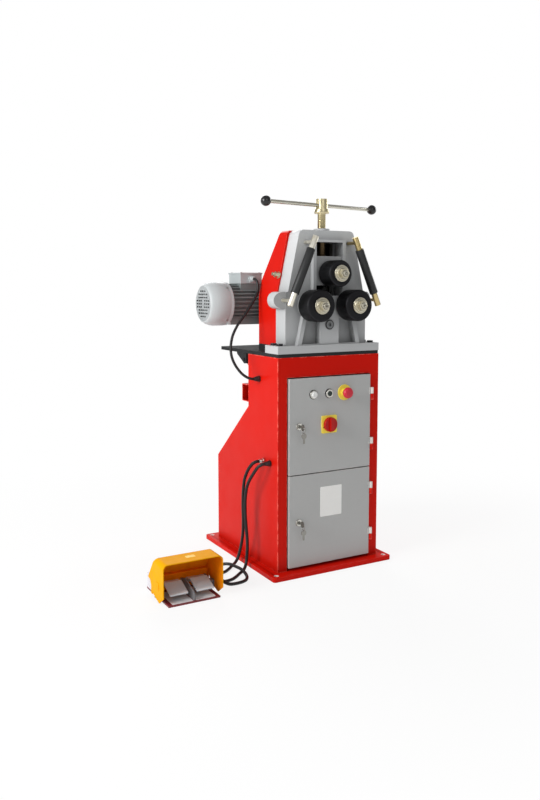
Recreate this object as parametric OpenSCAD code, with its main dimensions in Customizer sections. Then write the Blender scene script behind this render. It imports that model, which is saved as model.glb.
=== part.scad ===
// Angle roll bender: three-roll ring bending head on a steel cabinet, with a twin foot switch.
// Millimetres. X to the right, Y to the back, Z up; the origin is the middle of the base underside.

/* [Stand] */
// width of the base plate
base_w = 493; // [460:1:560]
// depth of the base plate
base_d = 558; // [520:1:640]
// thickness of the base plate
base_t = 16; // [10:1:25]
// distance of the floor anchor holes from the side edges
anchor_side = 20; // [18:1:22]
// distance of the floor anchor holes from the front and back edges
anchor_end = 20; // [18:1:22]
// diameter of the floor anchor holes
anchor_d = 14; // [10:1:16]
// width of the cabinet
cab_w = 418; // [412:1:430]
// height of the cabinet top over the floor
cab_top = 760; // [740:1:800]
// distance from the base front edge to the cabinet front
cab_setback = 41; // [38:1:50]
// depth of the cabinet at the floor
cab_d = 474; // [450:1:480]
// depth of the cabinet at the top
cab_top_d = 216; // [210:1:222]
// height where the sloping back starts
slope_low = 345; // [300:1:370]
// height where the sloping back ends
slope_high = 570; // [540:1:575]
// thickness of the cabinet sheet
wall_t = 3; // [2:0.5:4]

/* [Doors] */
// frame width left of the doors
door_left = 40; // [36:1:46]
// frame width right of the doors
door_right = 41; // [38:1:44]
// frame height over the upper door
door_top = 73; // [65:1:85]
// height of the line between the doors
door_split = 352; // [330:1:370]
// clear gap around the doors
door_gap = 4; // [3:0.5:6]
// folded depth of a door
door_t = 18; // [14:1:22]
// how far the doors stand out of the frame
door_proud = 8; // [6:0.5:9]
// thickness of the door sheet
door_skin = 2; // [1.5:0.5:3]
// diameter of the hinge barrels
hinge_d = 13; // [11:0.5:13.5]
// diameter of the hinge pins
hinge_pin_d = 7; // [5:0.5:8]
// length of one hinge half
hinge_l = 22; // [20:1:30]

/* [Tilting table] */
// thickness of the tilting plate
plate_t = 12; // [10:1:16]
// depth of the tilting plate
plate_d = 444; // [430:1:470]
// tilt pin distance behind the upper back wall
pivot_back = 38; // [30:1:44]
// tilt pin depth under the tilting plate
pivot_drop = 26; // [22:1:30]
// diameter of the tilt pins
tilt_pin_d = 14; // [10:1:16]

/* [Roll frame] */
// depth of the flange at the foot of the casting
flange_d = 90; // [84:1:100]
// thickness of that flange
flange_t = 27; // [20:1:32]
// thickness of the casting slab
slab_t = 65; // [58:1:72]
// how far the centre face stands out of the slab
raise_t = 19; // [16:1:21]
// half width of the casting at its foot
cast_half = 166; // [160:1:175]
// height of the casting over the tilting plate
cast_h = 421; // [410:1:440]
// height of the lower roll axes over the tilting plate
axis_h = 163; // [155:1:170]
// distance between the two lower roll axes
roll_pitch = 154; // [152:1:164]
// height of the upper roll axis over the lower ones, at rest
upper_rise = 109; // [100:1:115]

/* [Rolls and shafts] */
// diameter of the two lower rolls
lower_roll_d = 109; // [90:1:115]
// diameter of the upper roll
upper_roll_d = 91; // [80:1:95]
// rounding of the roll edges
roll_edge = 6; // [3:0.5:8]
// length of the rolls
roll_l = 67; // [56:1:76]
// diameter of the roll shafts
shaft_d = 30; // [25:1:32]
// diameter of the threaded shaft ends
thread_d = 19; // [17:1:22]
// outside diameter of the shaft bearings
bearing_d = 62; // [55:1:64]
// width of the shaft bearings
bearing_w = 16; // [12:1:18]
// diameter of the washers in front of the rolls
washer_d = 57; // [50:1:62]
// width across the flats of the roll nuts
nut_af = 30; // [28:1:36]

/* [Gear train] */
// module of the gears
gear_m = 3; // [2.95:0.01:3.02]
// teeth of a roll gear
gear_z = 48; // [47:1:48]
// teeth of the drive pinion
pinion_z = 20; // [20:1:22]
// face width of the gears
gear_w = 24; // [18:1:26]
// play between the tooth flanks
backlash = 0.4; // [0.3:0.05:0.8]
// diameter of the pinion shaft
pinion_shaft_d = 25; // [20:1:28]

/* [Feed] */
// width of the slide block slot
slot_w = 108; // [100:1:112]
// height of the slide block
slide_h = 100; // [96:1:106]
// how far the slide face stands behind the casting face
slide_in = 6; // [0:1:10]
// diameter of the feed screw
screw_d = 28; // [24:1:30]
// diameter of the handle hub
hub_d = 42; // [38:1:48]
// height of the hub underside over the casting top, at rest
hub_rise = 60; // [55:1:80]
// diameter of the handle bar
bar_d = 13; // [10:1:16]
// distance from the screw to the middle of a handle knob
bar_reach = 250; // [200:1:260]
// angle of the handle at rest
bar_turn = 10; // [0:1:30]
// diameter of the handle knobs
knob_d = 35; // [30:1:40]

/* [Guide rollers] */
// diameter of the guide rods
rod_d = 21; // [18:1:24]
// diameter of the guide sleeves
sleeve_d = 29; // [27:1:32]
// length of the guide sleeves
sleeve_l = 163; // [150:1:180]
// diameter of the studs that carry the rods
stud_d = 12; // [10:1:14]
// distance of the rods in front of the slab
rod_out = 55; // [48:1:62]

/* [Drive] */
// diameter of the motor flange
motor_flange_d = 140; // [136:1:142]
// diameter of the motor body under its fins
motor_d = 122; // [118:1:126]
// height of the cooling fins
fin_h = 11; // [8:1:14]
// diameter of the fan cover
fan_d = 158; // [150:1:160]
// distance between the worm and the gear shaft
worm_c = 70; // [63:1:75]
// distance of the motor axis behind the gear cover
motor_back = 85; // [82:1:95]
// thickness of the gear cover sheet
cover_t = 2.5; // [2:0.5:4]

/* [Foot switch] */
// middle of the foot switch, to the left of the machine
pedal_x = -546.5; // [-556.5:1:-540.5]
// width of the hood
hood_w = 208; // [204:1:209]
// height of the hood
hood_h = 136; // [128:1:145]
// width of one pedal
pedal_w = 62; // [54:1:66]

/* [Fits] */
// radial clearance of shafts, pins and screws
run_fit = 0.05; // [0.02:0.01:0.1]
// side clearance of sliding blocks and buttons
slide_fit = 0.1; // [0.05:0.01:0.2]

/* [Hidden] */
$fn = 64;

// cabinet
cab_f = -base_d / 2 + cab_setback;
cab_b = cab_f + cab_d;
back_y = cab_f + cab_top_d;
half = cab_w / 2;
slope_a = atan2(cab_b - back_y, slope_high - slope_low);
corner_in = wall_t * tan(slope_a / 2);
pivot_y = back_y + pivot_back;
pivot_z = cab_top - pivot_drop;
lug_t = 12;
lug_r = tilt_pin_d / 2 + 6;
rest_low = slope_high + 13;
rest_high = rest_low + 63;
pad_t = 3;
rest_back = pivot_y + pivot_drop - pad_t - 0.5;

// doors and what they carry
door_xl = -half + door_left;
door_xr = half - door_right;
door_f = cab_f - door_proud;
door_b = door_f + door_t;
upper_top = cab_top - door_top;
upper_low = door_split + door_gap / 2;
lower_top = door_split - door_gap / 2;
lower_low = base_t + 11;
hinge_x = door_xr + 1.5 + hinge_d / 2;
hinge_y = cab_f - 0.5 - hinge_d / 2;
upper_hinges = [upper_top - 70, upper_low + 81];
lower_hinges = [lower_top - 79, lower_low + 74];
panel_z = upper_top - 58;
switch_z = upper_top - 166;
control_mid = (door_xl + door_xr) / 2 - 8;
control_x = 64;
lamp_x = control_mid - control_x;
stop_x = control_mid + control_x;
lock_x = door_xl + 38;
upper_lock_z = switch_z + 1;
lower_lock_z = door_split - 167;
control_hole = 22.5;
lock_d = 19;

// head
head_z = cab_top + plate_t;
flange_z = head_z + flange_t;
plate_b = cab_f + plate_d;
cast_b = cab_f + flange_d;
cast_f = cast_b - slab_t;
face_y = cast_f - raise_t;
cast_top = head_z + cast_h;
axis_z = head_z + axis_h;
axis_x = roll_pitch / 2;
upper_z = axis_z + upper_rise;
ear_x = 172;
ear_z = axis_z + 18;
ear_r = 29;
ear_slope = 20;
side_z = axis_z + 60;
side_x = cast_half - 13;
top_x = cast_half - 56;
shoulder_r = 20;
side_a = atan2(cast_top - side_z, side_x - top_x);
shoulder_in = shoulder_r * tan(side_a / 2);
boss_h = 7;
boss_r = 28;
screw_back = 12;
screw_y = (face_y + cast_b) / 2 + screw_back;

// gears
mesh_c = gear_m * (gear_z + pinion_z) / 2;
pinion_z0 = axis_z - sqrt(mesh_c * mesh_c - axis_x * axis_x);
mesh_a = atan2(axis_z - pinion_z0, axis_x);
pinion_phase = 180 - mesh_a + 180 / pinion_z;
left_phase = -mesh_a;
right_phase = 180 + mesh_a - (pinion_phase - mesh_a) * pinion_z / gear_z + 180 / gear_z;
gear_f = cast_b + 13;
gear_b = gear_f + gear_w;

// rolls
roll_b = face_y - 4;
roll_f = roll_b - roll_l;
washer_f = roll_f - 10;
nut_f = washer_f - 15;
shaft_f = nut_f - 5;

// slide and screw
slide_f = face_y + slide_in;
slide_low = upper_z - 40;
slide_top = slide_low + slide_h;
slot_low = slide_low - 36;
slot_top = slide_top + 48;
tongue_in = 8;
tongue_y0 = screw_y - 11;
tongue_y1 = screw_y + 11;
foot_r = 20;
foot_low = slide_top - 22;
foot_h = 9;
neck_r = 11;
hub_low = cast_top + hub_rise;
hub_h = 50;
bar_z = hub_low + 28;

// guide rods
guide_y = cast_f - rod_out;
guide_hi = [88, axis_z + 215];
guide_lo = [173, axis_z + 18];
guide_dx = guide_lo[0] - guide_hi[0];
guide_dz = guide_hi[1] - guide_lo[1];
guide_len = sqrt(guide_dx * guide_dx + guide_dz * guide_dz);
guide_a = atan2(guide_dx, guide_dz);
rod_end = 20;
stud_in = 26;

// gear cover and drive
cover_b = cast_b + 127;
cover_bend = axis_z + 89;
cover_top_y = cast_b + 50;
cover_top = cast_top;
cover_low = flange_z - 4;
cover_half = cast_half - 1;
motor_y = cover_b + motor_back;
worm_z = pinion_z0 + worm_c;
motor_x0 = -105;
motor_x1 = -271;
fan_x = -347;
fan_t = 2.5;
box_x0 = -221;
box_x1 = -131;
box_y0 = motor_y - 48;
fin_r = motor_d / 2 + fin_h;
pad_half = 45;
box_z0 = worm_z + fin_r + 1;
box_z1 = box_z0 + 39;
box_gland = [-176, box_y0, box_z0 + 16];

// foot switch
pedal_f = -300;
pedal_b = -107;
pedal_half = 89.5;
hood_f = pedal_f + 9;
hood_b = hood_f + 133;
hood_t = 3;
hood_r = 17;
hood_back_z = 59;
hood_lean = 57;
hood_lug = [hood_f + 63, hood_f + 84];
pedal_pin_y = hood_f + 97;
pedal_pin_z = 38;
tread_y = hood_f + 68;
tread_z = 53;
pedal_pin_r = 4;
barrel_r = 8;
pedal_off = 45.5;
rear_box_x0 = pedal_x - pedal_half;
rear_box_x1 = pedal_x + pedal_half;
rear_gland_z = 32;

// cables
cable_r = 4.7;
pedal_cable_r = 5.6;
gland_out = 22;
gland_r = 10.7;
gland_m = [-half, cab_f + 131, 678];
gland_a = [-half, cab_f + 95, 392];
gland_b = [-half, cab_f + 53, 391];
rear_gland_a = [rear_box_x1, -122, rear_gland_z];
rear_gland_b = [rear_box_x1, -142, rear_gland_z];
rear_gland_out = 16;
floor_z = pedal_cable_r;
over_z = 3.2 * pedal_cable_r;
motor_path = [box_gland + [0, -gland_out, 0], box_gland + [0, -gland_out - 8, -1],
  box_gland + [2, -gland_out - 18, -9], [-175, -33, 987], [-188, -39, 964], [-203, -43, 942],
  [-221, -47, 920], [-239, -51, 898], [-272, -59, 862], [-294, -66, 826], [-304, -73, 790],
  [-304, -80, 757], [-292, -87, 725], [-272, -96, 697], [-255, -103, 684],
  gland_m + [-gland_out - 10, 0, 1], gland_m + [-gland_out, 0, 0]];
left_path = [gland_a + [-gland_out, 0, 0], gland_a + [-gland_out - 10, 0, 0], [-252, -139, 387],
  [-261, -125, 367], [-266, -103, 329], [-266, -90, 278], [-266, -87, 226], [-265, -87, 185],
  [-263, -82, 135], [-261, -69, 92], [-260, -53, 55], [-262, -45, 32], [-270, -46, 15],
  [-283, -54, 7.4], [-299, -67, floor_z], [-323, -91, floor_z], [-349, -111, floor_z],
  [-364, -119, 7.5], [-380, -123, 13], [-397, -124, 21], [-413, -123, 28],
  rear_gland_a + [rear_gland_out + 15, 0, -0.5], rear_gland_a + [rear_gland_out + 7, 0, 0],
  rear_gland_a + [rear_gland_out, 0, 0]];
right_path = [gland_b + [-gland_out, 0, 0], gland_b + [-gland_out - 9, 0, -0.5], [-252, -178, 382],
  [-261, -160, 357], [-266, -126, 313], [-266, -110, 276], [-265, -102, 236], [-264, -101, 200],
  [-262, -104, 152], [-260, -107, 112], [-259, -107, 78], [-259, -104, 51], [-261, -104, 31],
  [-268, -111, 15], [-280, -123, 7.4], [-296, -138, floor_z], [-314, -153, floor_z],
  [-338, -174, floor_z], [-361, -189, floor_z], [-389, -194, floor_z], [-415, -186, floor_z],
  [-432, -165, floor_z], [-437, -139, floor_z], [-432, -112, floor_z], [-418, -86, floor_z],
  [-396, -67, 6], [-370, -57, 8], [-346, -56, 11.5], [-326, -65, 15.5], [-314, -84, over_z - 0.4],
  [-309, -110, over_z], [-304, -142, over_z - 0.3], [-302, -170, 13], [-306, -194, 7.6],
  [-318, -213, floor_z], [-337, -225, floor_z], [-367, -229, floor_z], [-388, -226, 6.8],
  [-401, -214, 11.8], [-405.5, -199, 17], [-405.5, -187, 20.2], [-405, -178, 23], [-409.8, -160, 28],
  [-423, -147, 31], rear_gland_b + [rear_gland_out + 7, -0.4, 0],
  rear_gland_b + [rear_gland_out, 0, 0]];

// rings of points around a path, joined to one tube
function unit(v) = v / norm(v);
function path_dir(p, i) = unit(p[min(i + 1, len(p) - 1)] - p[max(i - 1, 0)]);
function side_of(d) = unit(cross(d, abs(d[2]) > 0.9 ? [0, 1, 0] : [0, 0, 1]));
function carry(p, i) = i == 0 ? side_of(path_dir(p, 0))
  : let(d = path_dir(p, i), s = carry(p, i - 1)) unit(s - d * (s * d));
function ring(c, d, s, r, n) = [for (k = [0:n - 1])
  c + r * cos(360 * k / n) * s + r * sin(360 * k / n) * cross(d, s)];
function end_dir(p, i) = i == 0 ? unit(p[1] - p[0]) : path_dir(p, i);

module tube(p, ends, r, n) {
  last = len(p) - 1;
  dirs = [for (i = [0:last]) i == 0 ? ends[0] : i == last ? ends[1] : path_dir(p, i)];
  pts = [for (i = [0:last]) each ring(p[i], dirs[i],
    unit(carry(p, i) - dirs[i] * (carry(p, i) * dirs[i])), r, n)];
  skin = [for (i = [0:last - 1], k = [0:n - 1], t = [0, 1])
    t == 0 ? [i * n + k, (i + 1) * n + k, i * n + (k + 1) % n]
    : [i * n + (k + 1) % n, (i + 1) * n + k, (i + 1) * n + (k + 1) % n]];
  polyhedron(points = pts, faces = concat([[for (k = [0:n - 1]) k]], skin,
    [[for (k = [n - 1:-1:0]) last * n + k]]));
}

// shapes placed by their limits
module box(x, y, z) {
  translate([x[0], y[0], z[0]]) cube([x[1] - x[0], y[1] - y[0], z[1] - z[0]]);
}

module bar_x(y, z, x, r) {
  translate([x[0], y, z]) rotate([0, 90, 0]) cylinder(h = x[1] - x[0], r = r);
}

module bar_y(x, z, y, r) {
  translate([x, y[1], z]) rotate([90, 0, 0]) cylinder(h = y[1] - y[0], r = r);
}

module bar_z(x, y, z, r) {
  translate([x, y, z[0]]) cylinder(h = z[1] - z[0], r = r);
}

module hex_y(x, z, y, af) {
  translate([x, y[1], z]) rotate([90, 0, 0]) cylinder(h = y[1] - y[0], r = af / sqrt(3), $fn = 6);
}

module along_x(x) {
  translate([x[0], 0, 0]) rotate([90, 0, 90]) linear_extrude(x[1] - x[0]) children();
}

module along_y(y) {
  translate([0, y[1], 0]) rotate([90, 0, 0]) linear_extrude(y[1] - y[0]) children();
}

module round_rect(w, h, r) {
  square([w - 2 * r, h], center = true);
  square([w, h - 2 * r], center = true);
  for (x = [-1, 1], y = [-1, 1]) translate([x * (w / 2 - r), y * (h / 2 - r)]) circle(r);
}

// a cylinder along Y with bevelled ends
module roll_shape(x, z, y, r, c) {
  translate([x, y[1], z]) rotate([90, 0, 0]) rotate_extrude()
    polygon([[0, 0], [r - c, 0], [r, c], [r, y[1] - y[0] - c], [r - c, y[1] - y[0]],
      [0, y[1] - y[0]]]);
}

module ring_y(x, z, y, r0, r1) {
  difference() {
    bar_y(x, z, y, r1);
    bar_y(x, z, [y[0] - 1, y[1] + 1], r0);
  }
}

// stand
module base_plate() {
  color([0.75, 0.08, 0.08]) difference() {
    linear_extrude(base_t) round_rect(base_w, base_d, 10);
    for (x = [-1, 1], y = [-1, 1])
      bar_z(x * (base_w / 2 - anchor_side), y * (base_d / 2 - anchor_end), [-1, base_t + 1], anchor_d / 2);
  }
}

module cabinet_profile(t, f) {
  polygon([[f, base_t - (t > 0 ? 1 : 0)], [cab_b - t, base_t - (t > 0 ? 1 : 0)],
    [cab_b - t, slope_low - (t > 0 ? corner_in : 0)],
    [back_y - t, slope_high - (t > 0 ? corner_in : 0)], [back_y - t, cab_top - t],
    [f, cab_top - t]]);
}

module cabinet_body() {
  color([0.85, 0.12, 0.1]) {
    difference() {
      union() {
        difference() {
          along_x([-half, half]) cabinet_profile(0, cab_f + wall_t);
          along_x([-half + wall_t, half - wall_t]) cabinet_profile(wall_t, cab_f);
        }
        box([-half + 1, half - 1], [door_b + 5, cab_b - 14],
          [door_split - wall_t / 2, door_split + wall_t / 2]);
        for (s = [-1, 1]) tilt_bracket(s);
        along_x([-half + 6, half - 6]) rest_profile();
      }
      for (g = [gland_m, gland_a, gland_b]) bar_x(g[1], g[2], [-half - 1, -half + wall_t + 1], gland_r * 0.6);
      for (s = [-1, 1]) bar_x(pivot_y, pivot_z, [s * 190 - 20, s * 190 + 20], tilt_pin_d / 2);
    }
    for (s = [-1, 1]) bar_y(s * 150, (rest_low + rest_high) / 2, [rest_back - 1, rest_back + pad_t], 16);
  }
}

module tilt_bracket(s) {
  x = s > 0 ? [half - 4 - 2 * lug_t - 0.6, half - 4 - lug_t - 0.6]
    : [-half + 4 + lug_t + 0.6, -half + 4 + 2 * lug_t + 0.6];
  along_x(x) {
    polygon([[back_y - 1, pivot_z - 46], [back_y - 1, pivot_z + lug_r],
      [pivot_y, pivot_z + lug_r], [pivot_y + lug_r * 0.8, pivot_z - lug_r * 0.6]]);
    translate([pivot_y, pivot_z]) circle(lug_r);
  }
}

module rest_profile() {
  difference() {
    translate([back_y - 1, rest_low]) square([rest_back - back_y + 1, rest_high - rest_low]);
    translate([back_y, rest_low + wall_t])
      square([rest_back - back_y - wall_t, rest_high - rest_low - 2 * wall_t]);
  }
}

module cabinet_front() {
  color([0.7, 0.07, 0.08]) {
    difference() {
      box([-half, half], [cab_f, cab_f + wall_t], [base_t, cab_top]);
      box([door_xl - door_gap, door_xr + door_gap], [cab_f - 1, cab_f + wall_t + 1],
        [base_t - 1, upper_top + door_gap]);
    }
    for (z = concat(upper_hinges, lower_hinges)) difference() {
      union() {
        bar_z(hinge_x, hinge_y, [z - hinge_l, z - 0.3], hinge_d / 2);
        box([door_xr + door_gap + 0.5, hinge_x + hinge_d / 2], [hinge_y, cab_f],
          [z - hinge_l, z - 0.3]);
      }
      bar_z(hinge_x, hinge_y, [z - hinge_l + 4, z + 1], hinge_pin_d / 2);
    }
  }
}

module hinge_pins() {
  color([0.6, 0.6, 0.58]) {
    for (z = concat(upper_hinges, lower_hinges))
      bar_z(hinge_x, hinge_y, [z - hinge_l + 4, z + hinge_l - 5], hinge_pin_d / 2);
    for (s = [-1, 1]) bar_x(pivot_y, pivot_z,
      [s * (half - 4 - lug_t) - lug_t - 3, s * (half - 4 - lug_t) + lug_t + 3], tilt_pin_d / 2);
  }
}

module gland(g) {
  translate(g) rotate([0, -90, 0]) {
    translate([0, 0, -8]) cylinder(h = 9, r = gland_r * 0.6);
    cylinder(h = 7, r = gland_r, $fn = 6);
    translate([0, 0, 7]) cylinder(h = 6, r = gland_r * 0.82);
    translate([0, 0, 13]) cylinder(h = gland_out - 13, r1 = gland_r * 0.82, r2 = pedal_cable_r + 1);
  }
}

module cabinet_glands() {
  color([0.2, 0.2, 0.2]) for (g = [gland_m, gland_a, gland_b]) gland(g);
}

module electrical_plate() {
  y = back_y - wall_t;
  z = slope_high + 12;
  color([0.75, 0.75, 0.72]) {
    box([-150, 150], [y - 14, y - 12], [z, z + 160]);
    for (x = [-135, 135], h = [15, 145]) bar_y(x, z + h, [y - 12, y], 6);
    box([-140, 140], [y - 22, y - 14], [z + 70, z + 105]);
    for (x = [-120, -66, 30, 84]) box([x, x + 45], [y - 92, y - 22], [z + 48, z + 130]);
    box([-130, 120], [y - 52, y - 14], [z + 12, z + 34]);
  }
}

module motor_cable() {
  color([0.08, 0.08, 0.08]) tube(motor_path, [[0, -1, 0], [1, 0, 0]], cable_r, 10);
}

module left_pedal_cable() {
  color([0.08, 0.08, 0.08]) tube(left_path, [[-1, 0, 0], [-1, 0, 0]], pedal_cable_r, 10);
}

module right_pedal_cable() {
  color([0.08, 0.08, 0.08]) tube(right_path, [[-1, 0, 0], [-1, 0, 0]], pedal_cable_r, 10);
}

// doors
module door(z0, z1, hinges) {
  difference() {
    union() {
      difference() {
        box([door_xl, door_xr], [door_f, door_b], [z0, z1]);
        box([door_xl + door_skin, door_xr - door_skin], [door_f + door_skin, door_b + 1],
          [z0 + door_skin, z1 - door_skin]);
      }
      for (z = hinges) {
        bar_z(hinge_x, hinge_y, [z + 0.3, z + hinge_l], hinge_d / 2);
        box([door_xr - 4, hinge_x], [door_f - 3, door_f + 2], [z + 0.3, z + hinge_l]);
      }
    }
    for (z = hinges) bar_z(hinge_x, hinge_y, [z - 1, z + hinge_l - 4], hinge_pin_d / 2 + run_fit);
  }
}

module upper_door() {
  color([0.62, 0.63, 0.61]) difference() {
    door(upper_low, upper_top, upper_hinges);
    for (x = [lamp_x, control_mid, stop_x]) bar_y(x, panel_z, [door_f - 1, door_b], control_hole / 2);
    bar_y(control_mid, switch_z, [door_f - 1, door_b], 15);
    bar_y(lock_x, upper_lock_z, [door_f - 1, door_b], lock_d / 2);
  }
}

module lower_door() {
  color([0.62, 0.63, 0.61]) difference() {
    door(lower_low, lower_top, lower_hinges);
    bar_y(lock_x, lower_lock_z, [door_f - 1, door_b], lock_d / 2);
  }
}

module lock_body(z) {
  difference() {
    union() {
      bar_y(lock_x, z, [door_f - 5, door_f], 12);
      bar_y(lock_x, z, [door_f, door_b - 2], lock_d / 2);
      difference() {
        bar_y(lock_x, z, [door_f + door_skin, door_f + 9], 14);
        bar_y(lock_x, z, [door_f + door_skin - 1, door_f + 10], lock_d / 2 - 0.5);
      }
    }
    bar_y(lock_x, z, [door_f - 6, door_b], 6 + run_fit);
  }
}

// the core with its cam, the key in it and a spare key on the same ring
module lock_key(z) {
  bar_y(lock_x, z, [door_f - 6, door_b + 3], 6);
  box([lock_x - 6, lock_x + 6], [door_b + 0.6, door_b + 3], [z - 8, z + door_left + 18]);
  box([lock_x - 1, lock_x + 1], [door_f - 18, door_f - 5], [z - 3.5, z + 3.5]);
  difference() {
    bar_x(door_f - 26, z, [lock_x - 1, lock_x + 1], 11);
    bar_x(door_f - 31, z, [lock_x - 2, lock_x + 2], 2.5);
  }
  translate([lock_x, door_f - 31, z - 8.5]) rotate([90, 0, 90])
    rotate_extrude() translate([10, 0]) circle(0.9);
  translate([lock_x + 2, door_f - 31, z - 28.5]) rotate([90, 0, 0]) difference() {
    union() {
      translate([0, 0, -1]) cylinder(h = 2, r = 10);
      translate([-3.5, -26, -1]) cube([7, 18, 2]);
    }
    translate([-2, 7.3, -2]) cylinder(h = 4, r = 2.2);
  }
}

module upper_lock() {
  color([0.7, 0.7, 0.7]) lock_body(upper_lock_z);
}

module lower_lock() {
  color([0.7, 0.7, 0.7]) lock_body(lower_lock_z);
}

module upper_key() {
  color([0.75, 0.73, 0.68]) lock_key(upper_lock_z);
}

module lower_key() {
  color([0.75, 0.73, 0.68]) lock_key(lower_lock_z);
}

module pilot_lamp() {
  color([0.9, 0.9, 0.88]) {
    roll_shape(lamp_x, panel_z, [door_f - 4, door_f], 14.7, 1);
    bar_y(lamp_x, panel_z, [door_f, door_f + 52], 11);
    roll_shape(lamp_x, panel_z, [door_f - 12, door_f - 4], 11.5, 3);
  }
}

module button_bezel() {
  color([0.75, 0.75, 0.75]) difference() {
    union() {
      roll_shape(control_mid, panel_z, [door_f - 6, door_f], 14.7, 1);
      bar_y(control_mid, panel_z, [door_f, door_f + 26], 11);
      box([control_mid - 15, control_mid + 15], [door_f + 26, door_f + 60],
        [panel_z - 20, panel_z + 20]);
    }
    bar_y(control_mid, panel_z, [door_f - 10, door_f + 20], 9 + slide_fit);
  }
}

module start_button() {
  color([0.06, 0.06, 0.06]) roll_shape(control_mid, panel_z, [door_f - 8, door_f + 14], 9, 0.8);
}

module estop_base() {
  color([0.95, 0.8, 0.1]) difference() {
    union() {
      roll_shape(stop_x, panel_z, [door_f - 3, door_f], 28, 0.8);
      roll_shape(stop_x, panel_z, [door_f - 10, door_f - 3], 15, 1);
      bar_y(stop_x, panel_z, [door_f, door_f + 26], 11);
      box([stop_x - 15, stop_x + 15], [door_f + 26, door_f + 60],
        [panel_z - 20, panel_z + 20]);
    }
    bar_y(stop_x, panel_z, [door_f - 15, door_f + 20], 8 + slide_fit);
  }
}

module estop_plunger() {
  color([0.2, 0.2, 0.2]) {
    bar_y(stop_x, panel_z, [door_f - 18, door_f + 12], 8);
    bar_y(stop_x, panel_z, [door_f - 26, door_f - 18], 4);
  }
}

module estop_cap() {
  color([0.8, 0.05, 0.05]) difference() {
    translate([stop_x, door_f - 18, panel_z]) rotate([90, 0, 0]) rotate_extrude()
      polygon([[0, 0], [17, 0], [19.5, 3], [19.5, 8], [17, 12.5], [12, 15], [0, 16]]);
    bar_y(stop_x, panel_z, [door_f - 26.3, door_f - 17.9], 4 + run_fit);
  }
}

module switch_plate() {
  color([0.95, 0.8, 0.1]) difference() {
    union() {
      along_y([door_f - 4, door_f]) translate([control_mid, switch_z]) round_rect(62, 62, 4);
      bar_y(control_mid, switch_z, [door_f, door_f + 20], 14.5);
      box([control_mid - 24, control_mid + 24], [door_f + 20, door_f + 66],
        [switch_z - 24, switch_z + 24]);
    }
    bar_y(control_mid, switch_z, [door_f - 5, door_f + 20], 5 + run_fit);
  }
}

module switch_knob() {
  color([0.8, 0.05, 0.05]) {
    bar_y(control_mid, switch_z, [door_f - 10, door_f + 15], 5);
    roll_shape(control_mid, switch_z, [door_f - 17, door_f - 4.3], 25.5, 1);
    difference() {
      roll_shape(control_mid, switch_z, [door_f - 26, door_f - 16], 23, 1.5);
      for (s = [-1, 1]) box([control_mid + s * 16 - 9.5, control_mid + s * 16 + 9.5],
        [door_f - 27, door_f - 17], [switch_z - 25, switch_z + 25]);
    }
  }
}

// head
module tilt_plate() {
  color([0.13, 0.13, 0.13]) difference() {
    union() {
      translate([0, (cab_f + plate_b) / 2, cab_top]) linear_extrude(plate_t)
        round_rect(cab_w, plate_d, 6);
      box([-cover_half, cover_half], [cast_b + 0.5, cover_b], [head_z - 1, cover_low]);
      for (s = [-1, 1]) along_x(s > 0 ? [half - 4 - lug_t, half - 4] : [-half + 4, -half + 4 + lug_t]) {
        polygon([[pivot_y - lug_r, pivot_z], [pivot_y - lug_r, cab_top + 1], [pivot_y + 62, cab_top + 1],
          [pivot_y + 58, cab_top - 8], [pivot_y + lug_r * 0.7, pivot_z - lug_r * 0.7]]);
        translate([pivot_y, pivot_z]) circle(lug_r);
      }
    }
    for (s = [-1, 1]) bar_x(pivot_y, pivot_z, [s * half - 20, s * half + 20], tilt_pin_d / 2 + run_fit);
  }
}

// front outline of the casting: tapered body, rounded shoulders and two round ears
module cast_outline(o, top) {
  polygon([[-cast_half + o, head_z], [cast_half - o, head_z], [cast_half - o, axis_z],
    [side_x - o, side_z], [top_x + shoulder_in * cos(side_a) - o, top - shoulder_in * sin(side_a)],
    [top_x - shoulder_in - o, top], [-top_x + shoulder_in + o, top],
    [-top_x - shoulder_in * cos(side_a) + o, top - shoulder_in * sin(side_a)],
    [-side_x + o, side_z], [-cast_half + o, axis_z]]);
  for (s = [-1, 1]) translate([s * (top_x - shoulder_in - o), top - shoulder_r]) circle(shoulder_r);
}

module raised_outline() {
  low = flange_z - 1;
  mid = axis_z - 35;
  polygon([[-129, low], [129, low], [106, mid], [66, mid + 8], [66, axis_z + 225],
    [-66, axis_z + 225], [-66, mid + 8], [-106, mid]]);
}

module pocket_outline(s) {
  low = flange_z + 4;
  mid = axis_z - 45;
  polygon([[s * 39, low], [s * 112, low], [s * 93, mid], [s * 39, mid]]);
}

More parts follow.
